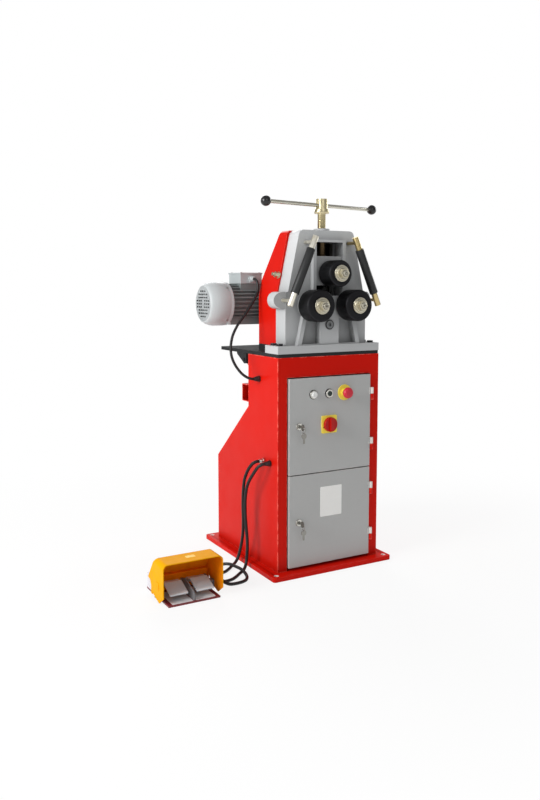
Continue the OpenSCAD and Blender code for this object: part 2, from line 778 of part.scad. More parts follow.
module roll_frame() {
  color([0.6, 0.61, 0.6]) difference() {
    union() {
      box([-half, half], [cab_f, cast_b], [head_z, flange_z]);
      along_y([cast_f, cast_b]) cast_outline(0, cast_top);
      for (s = [-1, 1]) difference() {
        along_y([cast_f, cast_b]) {
          translate([s * ear_x, ear_z]) circle(ear_r);
          translate([s * (ear_x - 20) - 20, ear_z - ear_r]) square([40, 2 * ear_r]);
        }
        translate([0, 0, ear_z - ear_r - 1]) linear_extrude(2 * ear_r + 2) polygon([[s * cast_half, cast_f],
          [s * cast_half, cast_f - 1], [s * (ear_x + ear_r + 1), cast_f - 1],
          [s * (ear_x + ear_r + 1), cast_f + ear_slope]]);
      }
      along_y([face_y, cast_f + 1]) raised_outline();
      for (s = [-1, 1]) bar_y(s * axis_x, axis_z, [face_y, cast_f + 1], bearing_d / 2 + 10);
      bar_z(0, screw_y, [cast_top - 5, cast_top + boss_h], boss_r);
    }
    for (s = [-1, 1]) {
      along_y([face_y - 1, cast_f + 9]) pocket_outline(s);
      bar_y(s * axis_x, axis_z, [face_y - 1, cast_b + 1], bearing_d / 2 - 6);
      bar_y(s * axis_x, axis_z, [face_y - 1, face_y + bearing_w + 2], bearing_d / 2);
      bar_y(s * axis_x, axis_z, [cast_b - bearing_w - 2, cast_b + 1], bearing_d / 2);
      bar_y(s * guide_hi[0], guide_hi[1], [face_y, cast_b + 1], stud_d / 2 + run_fit);
      bar_y(s * guide_lo[0], guide_lo[1], [face_y, cast_b + 1], stud_d / 2 + run_fit);
      for (y = [25, 68]) bar_z(s * (half - 21), cab_f + y, [flange_z - 18, flange_z + 1], 6);
    }
    box([-slot_w / 2, slot_w / 2], [face_y - 1, cast_b + 1], [slot_low, slot_top]);
    box([-slot_w / 2 - tongue_in, slot_w / 2 + tongue_in], [tongue_y0 - slide_fit, tongue_y1 + slide_fit],
      [slot_low, slot_top]);
    bar_z(0, screw_y, [slot_top - 1, cast_top + boss_h + 1], screw_d / 2 + 7);
    bar_y(0, pinion_z0, [face_y - 1, cast_b + 1], 15);
    bar_y(0, pinion_z0, [cast_b - 17, cast_b + 1], 26);
  }
}

module cover_outline(o) {
  low = cover_low - (o > 0 ? 1 : 0);
  polygon([[-cover_half + o, low], [cover_half - o, low], [cover_half - o, axis_z + 30],
    [top_x + 13 - o, cover_top - o - 16], [top_x + 10 - o, cover_top - o - 6], [top_x + 3 - o, cover_top - o],
    [-top_x - 3 + o, cover_top - o], [-top_x - 10 + o, cover_top - o - 6],
    [-top_x - 13 + o, cover_top - o - 16],
    [-cover_half + o, axis_z + 30]]);
}

module cover_profile(o) {
  low = cover_low - (o > 0 ? 1 : 0);
  f = cast_b - (o > 0 ? 1 : 0);
  polygon([[f, low], [cover_b - o, low], [cover_b - o, cover_bend], [cover_top_y - o, cover_top + 1],
    [f, cover_top + 1]]);
}

module gear_cover() {
  color([0.85, 0.12, 0.1]) difference() {
    intersection() {
      along_x([-cover_half - 1, cover_half + 1]) cover_profile(0);
      along_y([cast_b, cover_b + 1]) cover_outline(0);
    }
    intersection() {
      along_x([-cover_half - 1, cover_half + 1]) cover_profile(cover_t);
      along_y([cast_b + cover_t, cover_b + 1]) cover_outline(cover_t);
    }
    along_y([cast_b - 1, cast_b + cover_t + 1]) intersection() {
      cover_outline(cover_t);
      cast_outline(6, cast_top - 6);
    }
    bar_y(0, pinion_z0, [cover_b - 10, cover_b + 1], 35);
  }
}

module gearbox() {
  color([0.66, 0.67, 0.68]) difference() {
    union() {
      bar_y(0, pinion_z0, [cover_b, cover_b + 12], 60);
      bar_y(0, pinion_z0, [cover_b + 12, motor_y - 38], 46);
      roll_shape(0, pinion_z0, [motor_y - 42, motor_y + 42], 74, 4);
      bar_x(motor_y, worm_z, [-78, 78], 40);
      box([-62, 62], [motor_y - 38, motor_y + 38], [pinion_z0, worm_z + 20]);
      bar_x(motor_y, worm_z, [motor_x0, -78], motor_flange_d / 2);
      bar_x(motor_y, worm_z, [78, 86], 34);
      box([-58, 58], [motor_y - 36, motor_y + 36], [head_z, pinion_z0 - 50]);
      bar_y(0, pinion_z0, [motor_y + 42, motor_y + 50], 40);
    }
    bar_y(0, pinion_z0, [cover_b - 1, motor_y + 40], pinion_shaft_d / 2 + run_fit);
  }
}

module motor_body() {
  color([0.66, 0.67, 0.68]) {
    bar_x(motor_y, worm_z, [motor_x0 - 10, motor_x0], motor_flange_d / 2);
    bar_x(motor_y, worm_z, [motor_x1, motor_x0 - 10], motor_d / 2);
    translate([0, motor_y, worm_z]) for (a = [0:12:348]) rotate([a, 0, 0])
      box([motor_x1, motor_x0 - 12], [-1.7, 1.7], [motor_d / 2 - 6, fin_r]);
    bar_x(motor_y, worm_z, [motor_x1, motor_x1 + 12], fan_d / 2 - 1);
    box([box_x0 + 4, motor_x0 - 14], [motor_y - pad_half, motor_y + pad_half], [worm_z + 35, box_z0 - 0.1]);
    box([motor_x1 + 4, motor_x0 - 14], [motor_y - pad_half, motor_y + pad_half],
      [worm_z - fin_r - 3, worm_z - 40]);
  }
}

// half profile of the cup: straight side, long shoulder and flat end; o is the sheet thickness inside
function fan_shoulder(o) = let(r = fan_d / 2 - o, l = motor_x1 - fan_x - o)
  [[r, 0], [r, l - 36], [r - 2, l - 25], [r - 6, l - 13], [r - 11, l - 4], [r - 17, l], [0, l]];

// sheet cup with air slots in its end
module fan_cover() {
  outer = fan_shoulder(0);
  inner = fan_shoulder(fan_t);
  color([0.7, 0.71, 0.72]) difference() {
    translate([motor_x1, motor_y, worm_z]) rotate([0, -90, 0]) rotate_extrude()
      polygon(concat(outer, [for (k = [6:-1:0]) inner[k]]));
    for (z = [-45:11.25:45], y = [-48:16:48]) let(c = norm([abs(y) + 5.5, abs(z) + 2.8]))
      if (c < fan_d / 2 - 21 && norm([y, z]) > 12)
        box([fan_x - 1, fan_x + fan_t + 1], [motor_y + y - 5.5, motor_y + y + 5.5],
          [worm_z + z - 2.8, worm_z + z + 2.8]);
  }
}

module terminal_box() {
  color([0.68, 0.69, 0.7]) {
    box([box_x0 + 2, box_x1 - 2], [box_y0, motor_y + 46], [box_z0, box_z1 - 5]);
    box([box_x0, box_x1], [box_y0 - 2, motor_y + 48], [box_z1 - 5, box_z1]);
    translate(box_gland) rotate([90, 0, 0]) {
      cylinder(h = 8, r = 13, $fn = 6);
      translate([0, 0, 8]) cylinder(h = 7, r = 10);
      translate([0, 0, 15]) cylinder(h = gland_out - 15, r1 = 10, r2 = 7);
    }
  }
}

module feed_nut() {
  color([0.72, 0.55, 0.25]) difference() {
    bar_z(0, screw_y, [slot_top + 2, cast_top + boss_h - 0.5], screw_d / 2 + 7);
    bar_z(0, screw_y, [slot_top, cast_top + boss_h + 1], screw_d / 2 + run_fit);
  }
}

module cover_bolt() {
  cylinder(h = 3, r = 12.5);
  translate([0, 0, 3]) cylinder(h = 13, r = 19 / sqrt(3), $fn = 6);
  translate([0, 0, 16]) cylinder(h = 10, r = 6);
}

module head_bolts() {
  y = cast_b + 9;
  z = axis_z + 104;
  a = atan2(top_x + 13 - cover_half, cover_top - 16 - axis_z - 30);
  x = cover_half + (z - axis_z - 30) * tan(a);
  color([0.3, 0.3, 0.3]) {
    for (s = [-1, 1], dy = [25, 68]) translate([s * (half - 21), cab_f + dy, flange_z]) {
      difference() {
        cylinder(h = 7, r = 11);
        translate([0, 0, 3]) cylinder(h = 5, r = 5.5, $fn = 6);
      }
      translate([0, 0, -18]) cylinder(h = 19, r = 6);
    }
    for (s = [-1, 1]) translate([s * x, y, z]) rotate([0, s * (90 + a), 0]) cover_bolt();
  }
}

module shaft_bearings() {
  color([0.7, 0.7, 0.72]) {
    for (s = [-1, 1]) {
      ring_y(s * axis_x, axis_z, [face_y + 2, face_y + 2 + bearing_w], shaft_d / 2 + run_fit, bearing_d / 2);
      ring_y(s * axis_x, axis_z, [cast_b - 2 - bearing_w, cast_b - 2], shaft_d / 2 + run_fit, bearing_d / 2);
    }
    ring_y(0, pinion_z0, [cast_b - 17, cast_b - 2], pinion_shaft_d / 2 + run_fit, 26);
  }
}

module pinion_plug() {
  color([0.1, 0.1, 0.1]) difference() {
    union() {
      bar_y(0, pinion_z0, [face_y, face_y + 22], 15);
      roll_shape(0, pinion_z0, [face_y - 4, face_y], 17, 1);
    }
    hex_y(0, pinion_z0, [face_y - 5, face_y + 4], 12);
  }
}

// slide and feed screw
module slide_block() {
  w = slot_w / 2 - slide_fit;
  color([0.62, 0.63, 0.62]) difference() {
    union() {
      box([-w, w], [slide_f, cast_b], [slide_low, slide_top]);
      box([-w - tongue_in + slide_fit, w + tongue_in - slide_fit], [tongue_y0, tongue_y1],
        [slide_low, slide_top]);
    }
    bar_y(0, upper_z, [face_y - 1, cast_b + 1], bearing_d / 2 - 6);
    bar_y(0, upper_z, [slide_f - 1, slide_f + bearing_w + 2], bearing_d / 2);
    bar_y(0, upper_z, [cast_b - bearing_w - 2, cast_b + 1], bearing_d / 2);
    bar_z(0, screw_y, [foot_low - 0.3, foot_low + foot_h + 0.3], foot_r + 0.4);
    box([-foot_r - 0.4, foot_r + 0.4], [screw_y, cast_b + 1], [foot_low - 0.3, foot_low + foot_h + 0.3]);
    bar_z(0, screw_y, [foot_low, slide_top + 1], neck_r + 0.4);
    box([-neck_r - 0.4, neck_r + 0.4], [screw_y, cast_b + 1], [foot_low, slide_top + 1]);
  }
}

module slide_bearings() {
  color([0.7, 0.7, 0.72]) {
    ring_y(0, upper_z, [slide_f + 2, slide_f + 2 + bearing_w], shaft_d / 2 + run_fit, bearing_d / 2);
    ring_y(0, upper_z, [cast_b - 2 - bearing_w, cast_b - 2], shaft_d / 2 + run_fit, bearing_d / 2);
  }
}

module feed_screw() {
  color([0.78, 0.74, 0.6]) difference() {
    union() {
      bar_z(0, screw_y, [foot_low, foot_low + foot_h], foot_r);
      bar_z(0, screw_y, [foot_low + foot_h, slide_top + 0.5], neck_r);
      bar_z(0, screw_y, [slide_top + 0.5, hub_low + 4], screw_d / 2);
      bar_z(0, screw_y, [hub_low, hub_low + 14], hub_d / 2 + 4.5);
      bar_z(0, screw_y, [hub_low + 14, hub_low + hub_h], hub_d / 2);
    }
    translate([0, screw_y, 0]) rotate([0, 0, bar_turn]) bar_x(0, bar_z, [-40, 40], bar_d / 2);
  }
}

module handle_bar() {
  color([0.75, 0.72, 0.6]) translate([0, screw_y, 0]) rotate([0, 0, bar_turn])
    bar_x(0, bar_z, [-bar_reach, bar_reach], bar_d / 2);
}

module handle_knobs() {
  color([0.06, 0.06, 0.06]) translate([0, screw_y, 0]) rotate([0, 0, bar_turn]) difference() {
    for (s = [-1, 1]) translate([s * bar_reach, 0, bar_z]) sphere(knob_d / 2);
    bar_x(0, bar_z, [-bar_reach - 0.3, bar_reach + 0.3], bar_d / 2 + 0.3);
  }
}

// rolls, shafts and gears
module roll(x, z, d, in) {
  difference() {
    translate([x, roll_b + in, z]) rotate([90, 0, 0]) rotate_extrude() roll_half(d / 2, roll_l + in);
    bar_y(x, z, [roll_f - 1, roll_b + in + 1], shaft_d / 2);
  }
}

module roll_half(r, l) {
  e = roll_edge;
  polygon(concat([[0, 0]], [for (a = [-90:22.5:0]) [r - e + e * cos(a), e + e * sin(a)]],
    [for (a = [0:22.5:90]) [r - e + e * cos(a), l - e + e * sin(a)]], [[0, l]]));
}

module shaft(x, z, back, in) {
  difference() {
    union() {
      roll_shape(x, z, [shaft_f, roll_f], thread_d / 2, 1.5);
      bar_y(x, z, [roll_f, back], shaft_d / 2);
      bar_y(x, z, [roll_b + in, face_y + in + 1.6], shaft_d / 2 + 6);
      bar_y(x, z, [cast_b - 1.6, cast_b + 3], shaft_d / 2 + 5);
    }
    bar_y(x, z, [shaft_f - 1, shaft_f + 8], 3.5);
  }
}

module nut(x, z) {
  difference() {
    union() {
      roll_shape(x, z, [roll_f - 6, roll_f], washer_d / 2, 1);
      roll_shape(x, z, [washer_f, roll_f - 5], washer_d / 2 - 6, 1);
      hex_y(x, z, [nut_f, washer_f], nut_af);
    }
    bar_y(x, z, [nut_f - 1, roll_f + 1], thread_d / 2);
  }
}

function inv_at(c) = let(a = acos(min(1, c))) tan(a) * 180 / PI - a;
function tooth_half(m, z, r) = 90 / z - backlash / (2 * m * z) * 180 / PI
  + inv_at(cos(20)) - inv_at(m * z * cos(20) / (2 * r));

// involute outline with tooth number 0 at the given angle
module gear_outline(m, z, phase) {
  r0 = m * z / 2 - 1.25 * m;
  r1 = max(r0, m * z / 2 * cos(20));
  r2 = m * z / 2 + m;
  steps = [0, 0.25, 0.5, 0.75, 1];
  polygon([for (i = [0:z - 1]) let(a = phase + 360 * i / z, h = tooth_half(m, z, r1)) each concat(
    [r0 * [cos(a - h), sin(a - h)]],
    [for (k = steps) let(r = r1 + 0.01 + (r2 - r1 - 0.01) * k, t = a - tooth_half(m, z, r))
      r * [cos(t), sin(t)]],
    [for (k = steps) let(r = r2 - (r2 - r1 - 0.01) * k, t = a + tooth_half(m, z, r)) r * [cos(t), sin(t)]],
    [r0 * [cos(a + h), sin(a + h)]])]);
}

module roll_gear(x, phase) {
  difference() {
    union() {
      translate([x, 0, axis_z]) along_y([gear_f, gear_b]) gear_outline(gear_m, gear_z, phase);
      bar_y(x, axis_z, [cast_b + 3, gear_b + 6], 24);
    }
    bar_y(x, axis_z, [cast_b, gear_b + 7], shaft_d / 2);
  }
}

module upper_roll() {
  color([0.07, 0.07, 0.07]) roll(0, upper_z, upper_roll_d, slide_in);
}

module upper_shaft() {
  color([0.7, 0.7, 0.68]) shaft(0, upper_z, cast_b + 6, slide_in);
}

module upper_nut() {
  color([0.78, 0.74, 0.6]) nut(0, upper_z);
}

module left_roll() {
  color([0.07, 0.07, 0.07]) roll(-axis_x, axis_z, lower_roll_d, 0);
}

module left_shaft() {
  color([0.7, 0.7, 0.68]) shaft(-axis_x, axis_z, gear_b + 12, 0);
}

module left_gear() {
  color([0.55, 0.55, 0.57]) roll_gear(-axis_x, left_phase);
}

module left_nut() {
  color([0.78, 0.74, 0.6]) nut(-axis_x, axis_z);
}

module right_roll() {
  color([0.07, 0.07, 0.07]) roll(axis_x, axis_z, lower_roll_d, 0);
}

module right_shaft() {
  color([0.7, 0.7, 0.68]) shaft(axis_x, axis_z, gear_b + 12, 0);
}

module right_gear() {
  color([0.55, 0.55, 0.57]) roll_gear(axis_x, right_phase);
}

module right_nut() {
  color([0.78, 0.74, 0.6]) nut(axis_x, axis_z);
}

module drive_pinion() {
  color([0.55, 0.55, 0.57]) {
    translate([0, 0, pinion_z0]) along_y([gear_f - 1, gear_b + 1])
      gear_outline(gear_m, pinion_z, pinion_phase);
    bar_y(0, pinion_z0, [cast_b - 15, motor_y + 36], pinion_shaft_d / 2);
  }
}

// guide rods beside the rolls
module guide(s) {
  difference() {
    translate([s * guide_lo[0], guide_y, guide_lo[1]]) rotate([0, -s * guide_a, 0])
      translate([0, 0, -rod_end]) cylinder(h = guide_len + 2 * rod_end, r = rod_d / 2);
    for (p = [guide_hi, guide_lo]) bar_y(s * p[0], p[1], [guide_y - 5, guide_y + 30], stud_d / 2);
  }
  for (p = [guide_hi, guide_lo]) bar_y(s * p[0], p[1], [guide_y - 5, cast_f + stud_in], stud_d / 2);
}

module guide_sleeve(s) {
  translate([s * guide_lo[0], guide_y, guide_lo[1]]) rotate([0, -s * guide_a, 0])
    translate([0, 0, (guide_len - sleeve_l) / 2]) difference() {
      cylinder(h = sleeve_l, r = sleeve_d / 2);
      translate([0, 0, -1]) cylinder(h = sleeve_l + 2, r = rod_d / 2 + run_fit);
    }
}

module left_guide() {
  color([0.78, 0.74, 0.6]) guide(-1);
}

module left_sleeve() {
  color([0.08, 0.08, 0.08]) guide_sleeve(-1);
}

module right_guide() {
  color([0.78, 0.74, 0.6]) guide(1);
}

module right_sleeve() {
  color([0.08, 0.08, 0.08]) guide_sleeve(1);
}

// foot switch
module pedal_base() {
  lug_x = hood_w / 2 - hood_t;
  pin_plate = [pedal_pin_y - 9, pedal_pin_y + 9];
  color([0.35, 0.1, 0.1]) translate([pedal_x, 0, 0]) {
    box([-pedal_half, pedal_half], [pedal_f, pedal_b], [0, 6]);
    along_x([-2, 2]) polygon([[pedal_f + 4, 5], [pedal_f + 2, 17], [pedal_f + 4, 28], [pedal_f + 14, 36],
      [pedal_f + 32, 42], [tread_y, tread_z + 3], [pin_plate[1], pedal_pin_z + 7], [pin_plate[1], 5]]);
    for (s = [-1, 1]) {
      box(s > 0 ? [pedal_half - 8, pedal_half - 3] : [-pedal_half + 3, -pedal_half + 8], pin_plate,
        [5, pedal_pin_z + 7]);
      box(s > 0 ? [pedal_half - 6, lug_x] : [-lug_x, -pedal_half + 6], hood_lug, [5, 34]);
    }
    bar_x(pedal_pin_y, pedal_pin_z, [-pedal_half + 3, pedal_half - 3], pedal_pin_r);
  }
}

// side view of the hood: its lower corners are cut off and its back leans forward
module hood_profile() {
  polygon([[hood_f, 28], [hood_f + 36, 2], [hood_f + 86, 16], [hood_f + 99, 28], [hood_f + 115, 56],
    [hood_b, hood_back_z], [hood_b - hood_lean, hood_h], [hood_f, hood_h]]);
}

module hood_inside() {
  k = hood_lean / (hood_h - hood_back_z);
  y = hood_b - hood_t * sqrt(1 + k * k);
  polygon([[hood_f - 1, 0], [y + k * hood_back_z, 0],
    [y - k * (hood_h - hood_t - hood_back_z), hood_h - hood_t], [hood_f - 1, hood_h - hood_t]]);
}

module hood_outline(o) {
  w = hood_w / 2 - o;
  r = hood_r - o;
  polygon([[-w, 0], [w, 0], [w, hood_h - o - r], [w - r, hood_h - o],
    [-w + r, hood_h - o], [-w, hood_h - o - r]]);
  for (s = [-1, 1]) translate([s * (w - r), hood_h - o - r]) circle(r);
}

module pedal_hood() {
  color([0.96, 0.68, 0.1]) translate([pedal_x, 0, 0]) {
    difference() {
      intersection() {
        along_x([-hood_w / 2, hood_w / 2]) hood_profile();
        along_y([hood_f, hood_b]) hood_outline(0);
      }
      intersection() {
        along_x([-hood_w / 2, hood_w / 2]) hood_inside();
        along_y([hood_f - 1, hood_b + 1]) hood_outline(hood_t);
      }
    }
    for (s = [-1, 1]) box(s > 0 ? [hood_w / 2 - 1, hood_w / 2 + 1.5] : [-hood_w / 2 - 1.5, -hood_w / 2 + 1],
      [hood_f + 36, hood_f + 58], [44, 66]);
  }
}

module pedal_switch_box() {
  color([0.8, 0.8, 0.82]) {
    box([rear_box_x0, rear_box_x1], [hood_b - 14, pedal_b - 4], [6, hood_back_z - 3]);
    for (g = [rear_gland_a, rear_gland_b]) translate(g) rotate([0, 90, 0]) {
      cylinder(h = 6, r = 9.6, $fn = 6);
      translate([0, 0, 6]) cylinder(h = rear_gland_out - 6, r1 = 8.5, r2 = 6.5);
    }
  }
}

module pedal(s) {
  x = pedal_x + s * pedal_off;
  top = pedal_pin_z + barrel_r;
  difference() {
    union() {
      along_x([x - pedal_w / 2, x + pedal_w / 2]) polygon([[pedal_pin_y, pedal_pin_z - 3], [pedal_pin_y, top],
        [tread_y + 4, tread_z - 3], [tread_y, tread_z], [hood_f + 13, 32], [hood_f + 10, 29],
        [hood_f + 12, 26],
        [tread_y - 4, tread_z - 8]]);
      bar_x(pedal_pin_y, pedal_pin_z, [x - pedal_w / 2, x + pedal_w / 2], barrel_r);
    }
    bar_x(pedal_pin_y, pedal_pin_z, [x - pedal_w, x + pedal_w], pedal_pin_r + run_fit);
  }
}

module left_pedal() {
  color([0.6, 0.6, 0.6]) pedal(-1);
}

module right_pedal() {
  color([0.6, 0.6, 0.6]) pedal(1);
}

base_plate();
cabinet_body();
cabinet_front();
hinge_pins();
cabinet_glands();
electrical_plate();
motor_cable();
left_pedal_cable();
right_pedal_cable();
pedal_base();
pedal_hood();
pedal_switch_box();
left_pedal();
right_pedal();
upper_door();
upper_lock();
pilot_lamp();
button_bezel();
estop_base();
switch_plate();
start_button();
estop_plunger();
estop_cap();
switch_knob();
upper_key();
lower_door();
lower_lock();
lower_key();
tilt_plate();
roll_frame();
gear_cover();
gearbox();
motor_body();
fan_cover();
terminal_box();
feed_nut();
head_bolts();
shaft_bearings();
pinion_plug();
slide_block();
slide_bearings();
feed_screw();
handle_bar();
handle_knobs();
upper_roll();
upper_shaft();
upper_nut();
left_roll();
left_shaft();
left_gear();
left_nut();
right_roll();
right_shaft();
right_gear();
right_nut();
drive_pinion();
left_guide();
left_sleeve();
right_guide();
right_sleeve();
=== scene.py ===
import math
import bpy
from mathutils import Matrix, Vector

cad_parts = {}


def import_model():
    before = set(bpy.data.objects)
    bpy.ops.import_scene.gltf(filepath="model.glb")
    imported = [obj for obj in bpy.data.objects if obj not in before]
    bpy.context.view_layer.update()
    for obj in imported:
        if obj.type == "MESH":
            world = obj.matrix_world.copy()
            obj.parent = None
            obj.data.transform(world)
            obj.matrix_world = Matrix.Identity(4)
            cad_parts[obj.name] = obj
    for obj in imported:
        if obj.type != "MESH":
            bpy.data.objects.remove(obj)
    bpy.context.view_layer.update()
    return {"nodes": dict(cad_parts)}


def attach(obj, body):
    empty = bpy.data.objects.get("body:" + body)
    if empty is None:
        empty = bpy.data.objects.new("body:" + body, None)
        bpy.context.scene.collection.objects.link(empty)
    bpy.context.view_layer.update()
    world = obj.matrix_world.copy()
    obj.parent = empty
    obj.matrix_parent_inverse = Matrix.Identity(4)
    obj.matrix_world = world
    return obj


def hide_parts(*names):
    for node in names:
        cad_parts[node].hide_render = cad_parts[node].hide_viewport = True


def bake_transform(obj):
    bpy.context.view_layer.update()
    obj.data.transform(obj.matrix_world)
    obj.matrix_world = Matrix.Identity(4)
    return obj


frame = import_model()
nodes = frame["nodes"]
scene = bpy.context.scene
scene.view_settings.view_transform = "Standard"

# Axes and directions
X, Y, Z = 0, 1, 2
LEFT = (-1, 0, 0)
RIGHT = (1, 0, 0)
FRONT = (0, -1, 0)
BACK = (0, 1, 0)
UP = (0, 0, 1)

# Places on the object, in metres: motor axis, pinion axis, middle of the foot switch, face of the doors
MOTOR_Y = 0.064
MOTOR_Z = 0.938105
PINION_Z = 0.868105
PEDAL_X = -0.5465
DOOR_FRONT = -0.246

# Camera
CAMERA_AT = (-1.522, -2.53972, 0.99735)
CAMERA_TILT = 84.49
CAMERA_TURN = -29.12
CAMERA_LENS = 35.65
CAMERA_SENSOR = 36.0
CAMERA_SHIFT = -0.0454
cam = bpy.data.cameras.new("camera")
cam.sensor_fit = "VERTICAL"
cam.sensor_height = CAMERA_SENSOR
cam.lens = CAMERA_LENS
cam.shift_y = CAMERA_SHIFT
cam_obj = bpy.data.objects.new("camera", cam)
scene.collection.objects.link(cam_obj)
cam_obj.location = CAMERA_AT
cam_obj.rotation_euler = (math.radians(CAMERA_TILT), 0, math.radians(CAMERA_TURN))
scene.camera = cam_obj


# Finishes: tools
def rgb(r, g, b):
    """A display colour of 0 to 255 as a linear one."""
    return tuple(((c / 255 + 0.055) / 1.055) ** 2.4 if c > 10 else c / 3294 for c in (r, g, b)) + (1,)


def shade(c, k):
    """A colour made darker or lighter by a factor."""
    return (min(1, c[0] * k), min(1, c[1] * k), min(1, c[2] * k), 1)


class Graph:
    """A material with a Principled shader and short calls for its nodes."""

    def __init__(self, name):
        self.mat = bpy.data.materials.new(name)
        self.mat.use_nodes = True
        self.tree = self.mat.node_tree
        self.tree.nodes.clear()
        out = self.tree.nodes.new("ShaderNodeOutputMaterial")
        self.bsdf = self.tree.nodes.new("ShaderNodeBsdfPrincipled")
        self.link(self.bsdf.outputs[0], out.inputs[0])
        self.coord = self.tree.nodes.new("ShaderNodeTexCoord").outputs["Object"]

    def link(self, a, b):
        self.tree.links.new(a, b)

    def node(self, kind, **sockets):
        n = self.tree.nodes.new("ShaderNode" + kind)
        for key, value in sockets.items():
            n.inputs[key.replace("_", " ")].default_value = value
        return n

    def noise(self, scale, detail=3.0, rough=0.55, stretch=None):
        n = self.node("TexNoise", Scale=scale, Detail=detail, Roughness=rough)
        at = self.coord
        if stretch:
            m = self.node("Mapping", Scale=stretch)
            self.link(at, m.inputs["Vector"])
            at = m.outputs[0]
        self.link(at, n.inputs["Vector"])
        return n.outputs["Fac"]

    def remap(self, value, a, b, c, d):
        """The range a to b of a value carried to the range c to d."""
        n = self.node("MapRange", From_Min=a, From_Max=b, To_Min=c, To_Max=d)
        self.link(value, n.inputs["Value"])
        return n.outputs["Result"]

    def drift(self, scale, least=0.0, most=1.0):
        """A slow change from place to place between two values."""
        return self.remap(self.noise(scale, 4), 0.3, 0.7, least, most)

    def two_tone(self, scale, colour, vary):
        """A colour that drifts a little to both sides."""
        return self.mix(self.drift(scale), shade(colour, 1 - vary), shade(colour, 1 + vary))

    def math(self, kind, a, b=None):
        n = self.node("Math")
        n.operation = kind
        for i, v in enumerate((a, b)):
            if v is None:
                continue
            if isinstance(v, (int, float)):
                n.inputs[i].default_value = v
            else:
                self.link(v, n.inputs[i])
        return n.outputs[0]

    def above(self, value, limit):
        return self.math("GREATER_THAN", value, limit)

    def below(self, value, limit):
        return self.math("LESS_THAN", value, limit)

    def both(self, a, b):
        return self.math("MULTIPLY", a, b)

    def between(self, value, limits):
        return self.both(self.above(value, limits[0]), self.below(value, limits[1]))

    def squares(self, a, b):
        return self.math("ADD", self.math("MULTIPLY", a, a), self.math("MULTIPLY", b, b))

    def zigzag(self, at, pitch):
        return self.math("PINGPONG", self.math("MULTIPLY", at, 1 / pitch), 0.5)

    def dot(self, a, b):
        n = self.node("VectorMath")
        n.operation = "DOT_PRODUCT"
        self.link(a, n.inputs[0])
        self.link(b, n.inputs[1])
        return n.outputs["Value"]

    def mix(self, factor, a, b):
        n = self.node("Mix")
        n.data_type = "RGBA"
        self.link(factor, n.inputs["Factor"])
        for key, v in (("A", a), ("B", b)):
            s = [i for i in n.inputs if i.name == key and i.type == "RGBA"][0]
            if isinstance(v, tuple):
                s.default_value = v
            else:
                self.link(v, s)
        return [o for o in n.outputs if o.type == "RGBA"][0]

    def part_of(self, vector, i):
        n = self.node("SeparateXYZ")
        self.link(vector, n.inputs[0])
        return n.outputs[i]

    def axis(self, i):
        return self.part_of(self.coord, i)

    def normal(self):
        return self.node("TexCoord").outputs["Normal"]

    def bump(self, height, distance, under=None):
        n = self.node("Bump", Strength=1.0, Distance=distance)
        self.link(height, n.inputs["Height"])
        if under:
            self.link(under, n.inputs["Normal"])
        return n.outputs["Normal"]

    def edge(self, radius):
        """1 on sharp outer edges, 0 on flats."""
        b = self.node("Bevel", Radius=radius)
        b.samples = 4
        turn = self.dot(b.outputs[0], self.node("NewGeometry").outputs["Normal"])
        return self.remap(turn, 0.995, 0.9, 0.0, 1.0)

    def corners(self, reach, start, end, most):
        """Painted shade: 0 in the open, rising to most where other faces close a place in."""
        ao = self.node("AmbientOcclusion", Distance=reach)
        return self.remap(ao.outputs["AO"], start, end, most, 0.0)

    def finish(self, colour, rough, normal):
        self.link(colour, self.bsdf.inputs["Base Color"])
        self.link(rough, self.bsdf.inputs["Roughness"])
        self.link(normal, self.bsdf.inputs["Normal"])
        return self


# Finishes: kinds
FLOOR_DIRT = rgb(84, 60, 52)
FLOOR_DIRT_TOP = 0.16


def paint(name, colour, rough, vary, peel=(520, 0.00004), cast=None, edge_wear_and_sheen=None, grime=0.0, specular=0.5,
          speck=0.06, corner_shade=None, low_shade=None):
    """Sprayed or powder-coated paint with a soft drift of tone.

    peel, cast: scale and depth of the orange peel and of a cast skin. wear: colour, width and strength of a
    lighter edge line, rubbed paint on most finishes and a painted highlight on the red paint and doors.
    grime:
    strength of dirt near the floor. speck: strength of dark specks. corner: reach and strength of painted
    shade
    in corners. fade: foot, top and strength of painted shade that darkens the lower part.
    """
    g = Graph(name)
    # the colour of painted shade
    painted_shade_colour = shade(colour, 0.4)
    col = g.two_tone(3.1, colour, vary)
    col = g.mix(g.remap(g.noise(140, 2), 0.35, 0.75, 0, speck), col, shade(colour, 0.72))
    # a lighter edge line: rubbed paint, and on the red paint and the doors a painted highlight
    if edge_wear_and_sheen:
        wear_and_sheen_line = g.both(g.edge(edge_wear_and_sheen[1]), g.remap(g.noise(60, 4), 0.42, 0.62, 0, edge_wear_and_sheen[2]))
        col = g.mix(wear_and_sheen_line, col, edge_wear_and_sheen[0])
    # painted shade in corners and on the lower part
    if corner_shade:
        col = g.mix(g.corners(corner_shade[0], 0.25, 0.95, corner_shade[1]), col, painted_shade_colour)
    if low_shade:
        col = g.mix(g.remap(g.axis(Z), low_shade[0], low_shade[1], low_shade[2], 0.0), col, painted_shade_colour)
    if grime:
        foot = g.remap(g.axis(Z), 0.0, FLOOR_DIRT_TOP, grime, 0.0)
        col = g.mix(g.both(foot, g.remap(g.noise(24, 5), 0.35, 0.7, 0, 1)), col, FLOOR_DIRT)
    n = g.bump(g.noise(peel[0], 2, 0.4), peel[1])
    if cast:
        n = g.bump(g.noise(cast[0], 5, 0.62), cast[1], n)
    g.bsdf.inputs["Specular IOR Level"].default_value = specular
    return g.finish(col, g.drift(17, rough - 0.06, rough + 0.08), n)


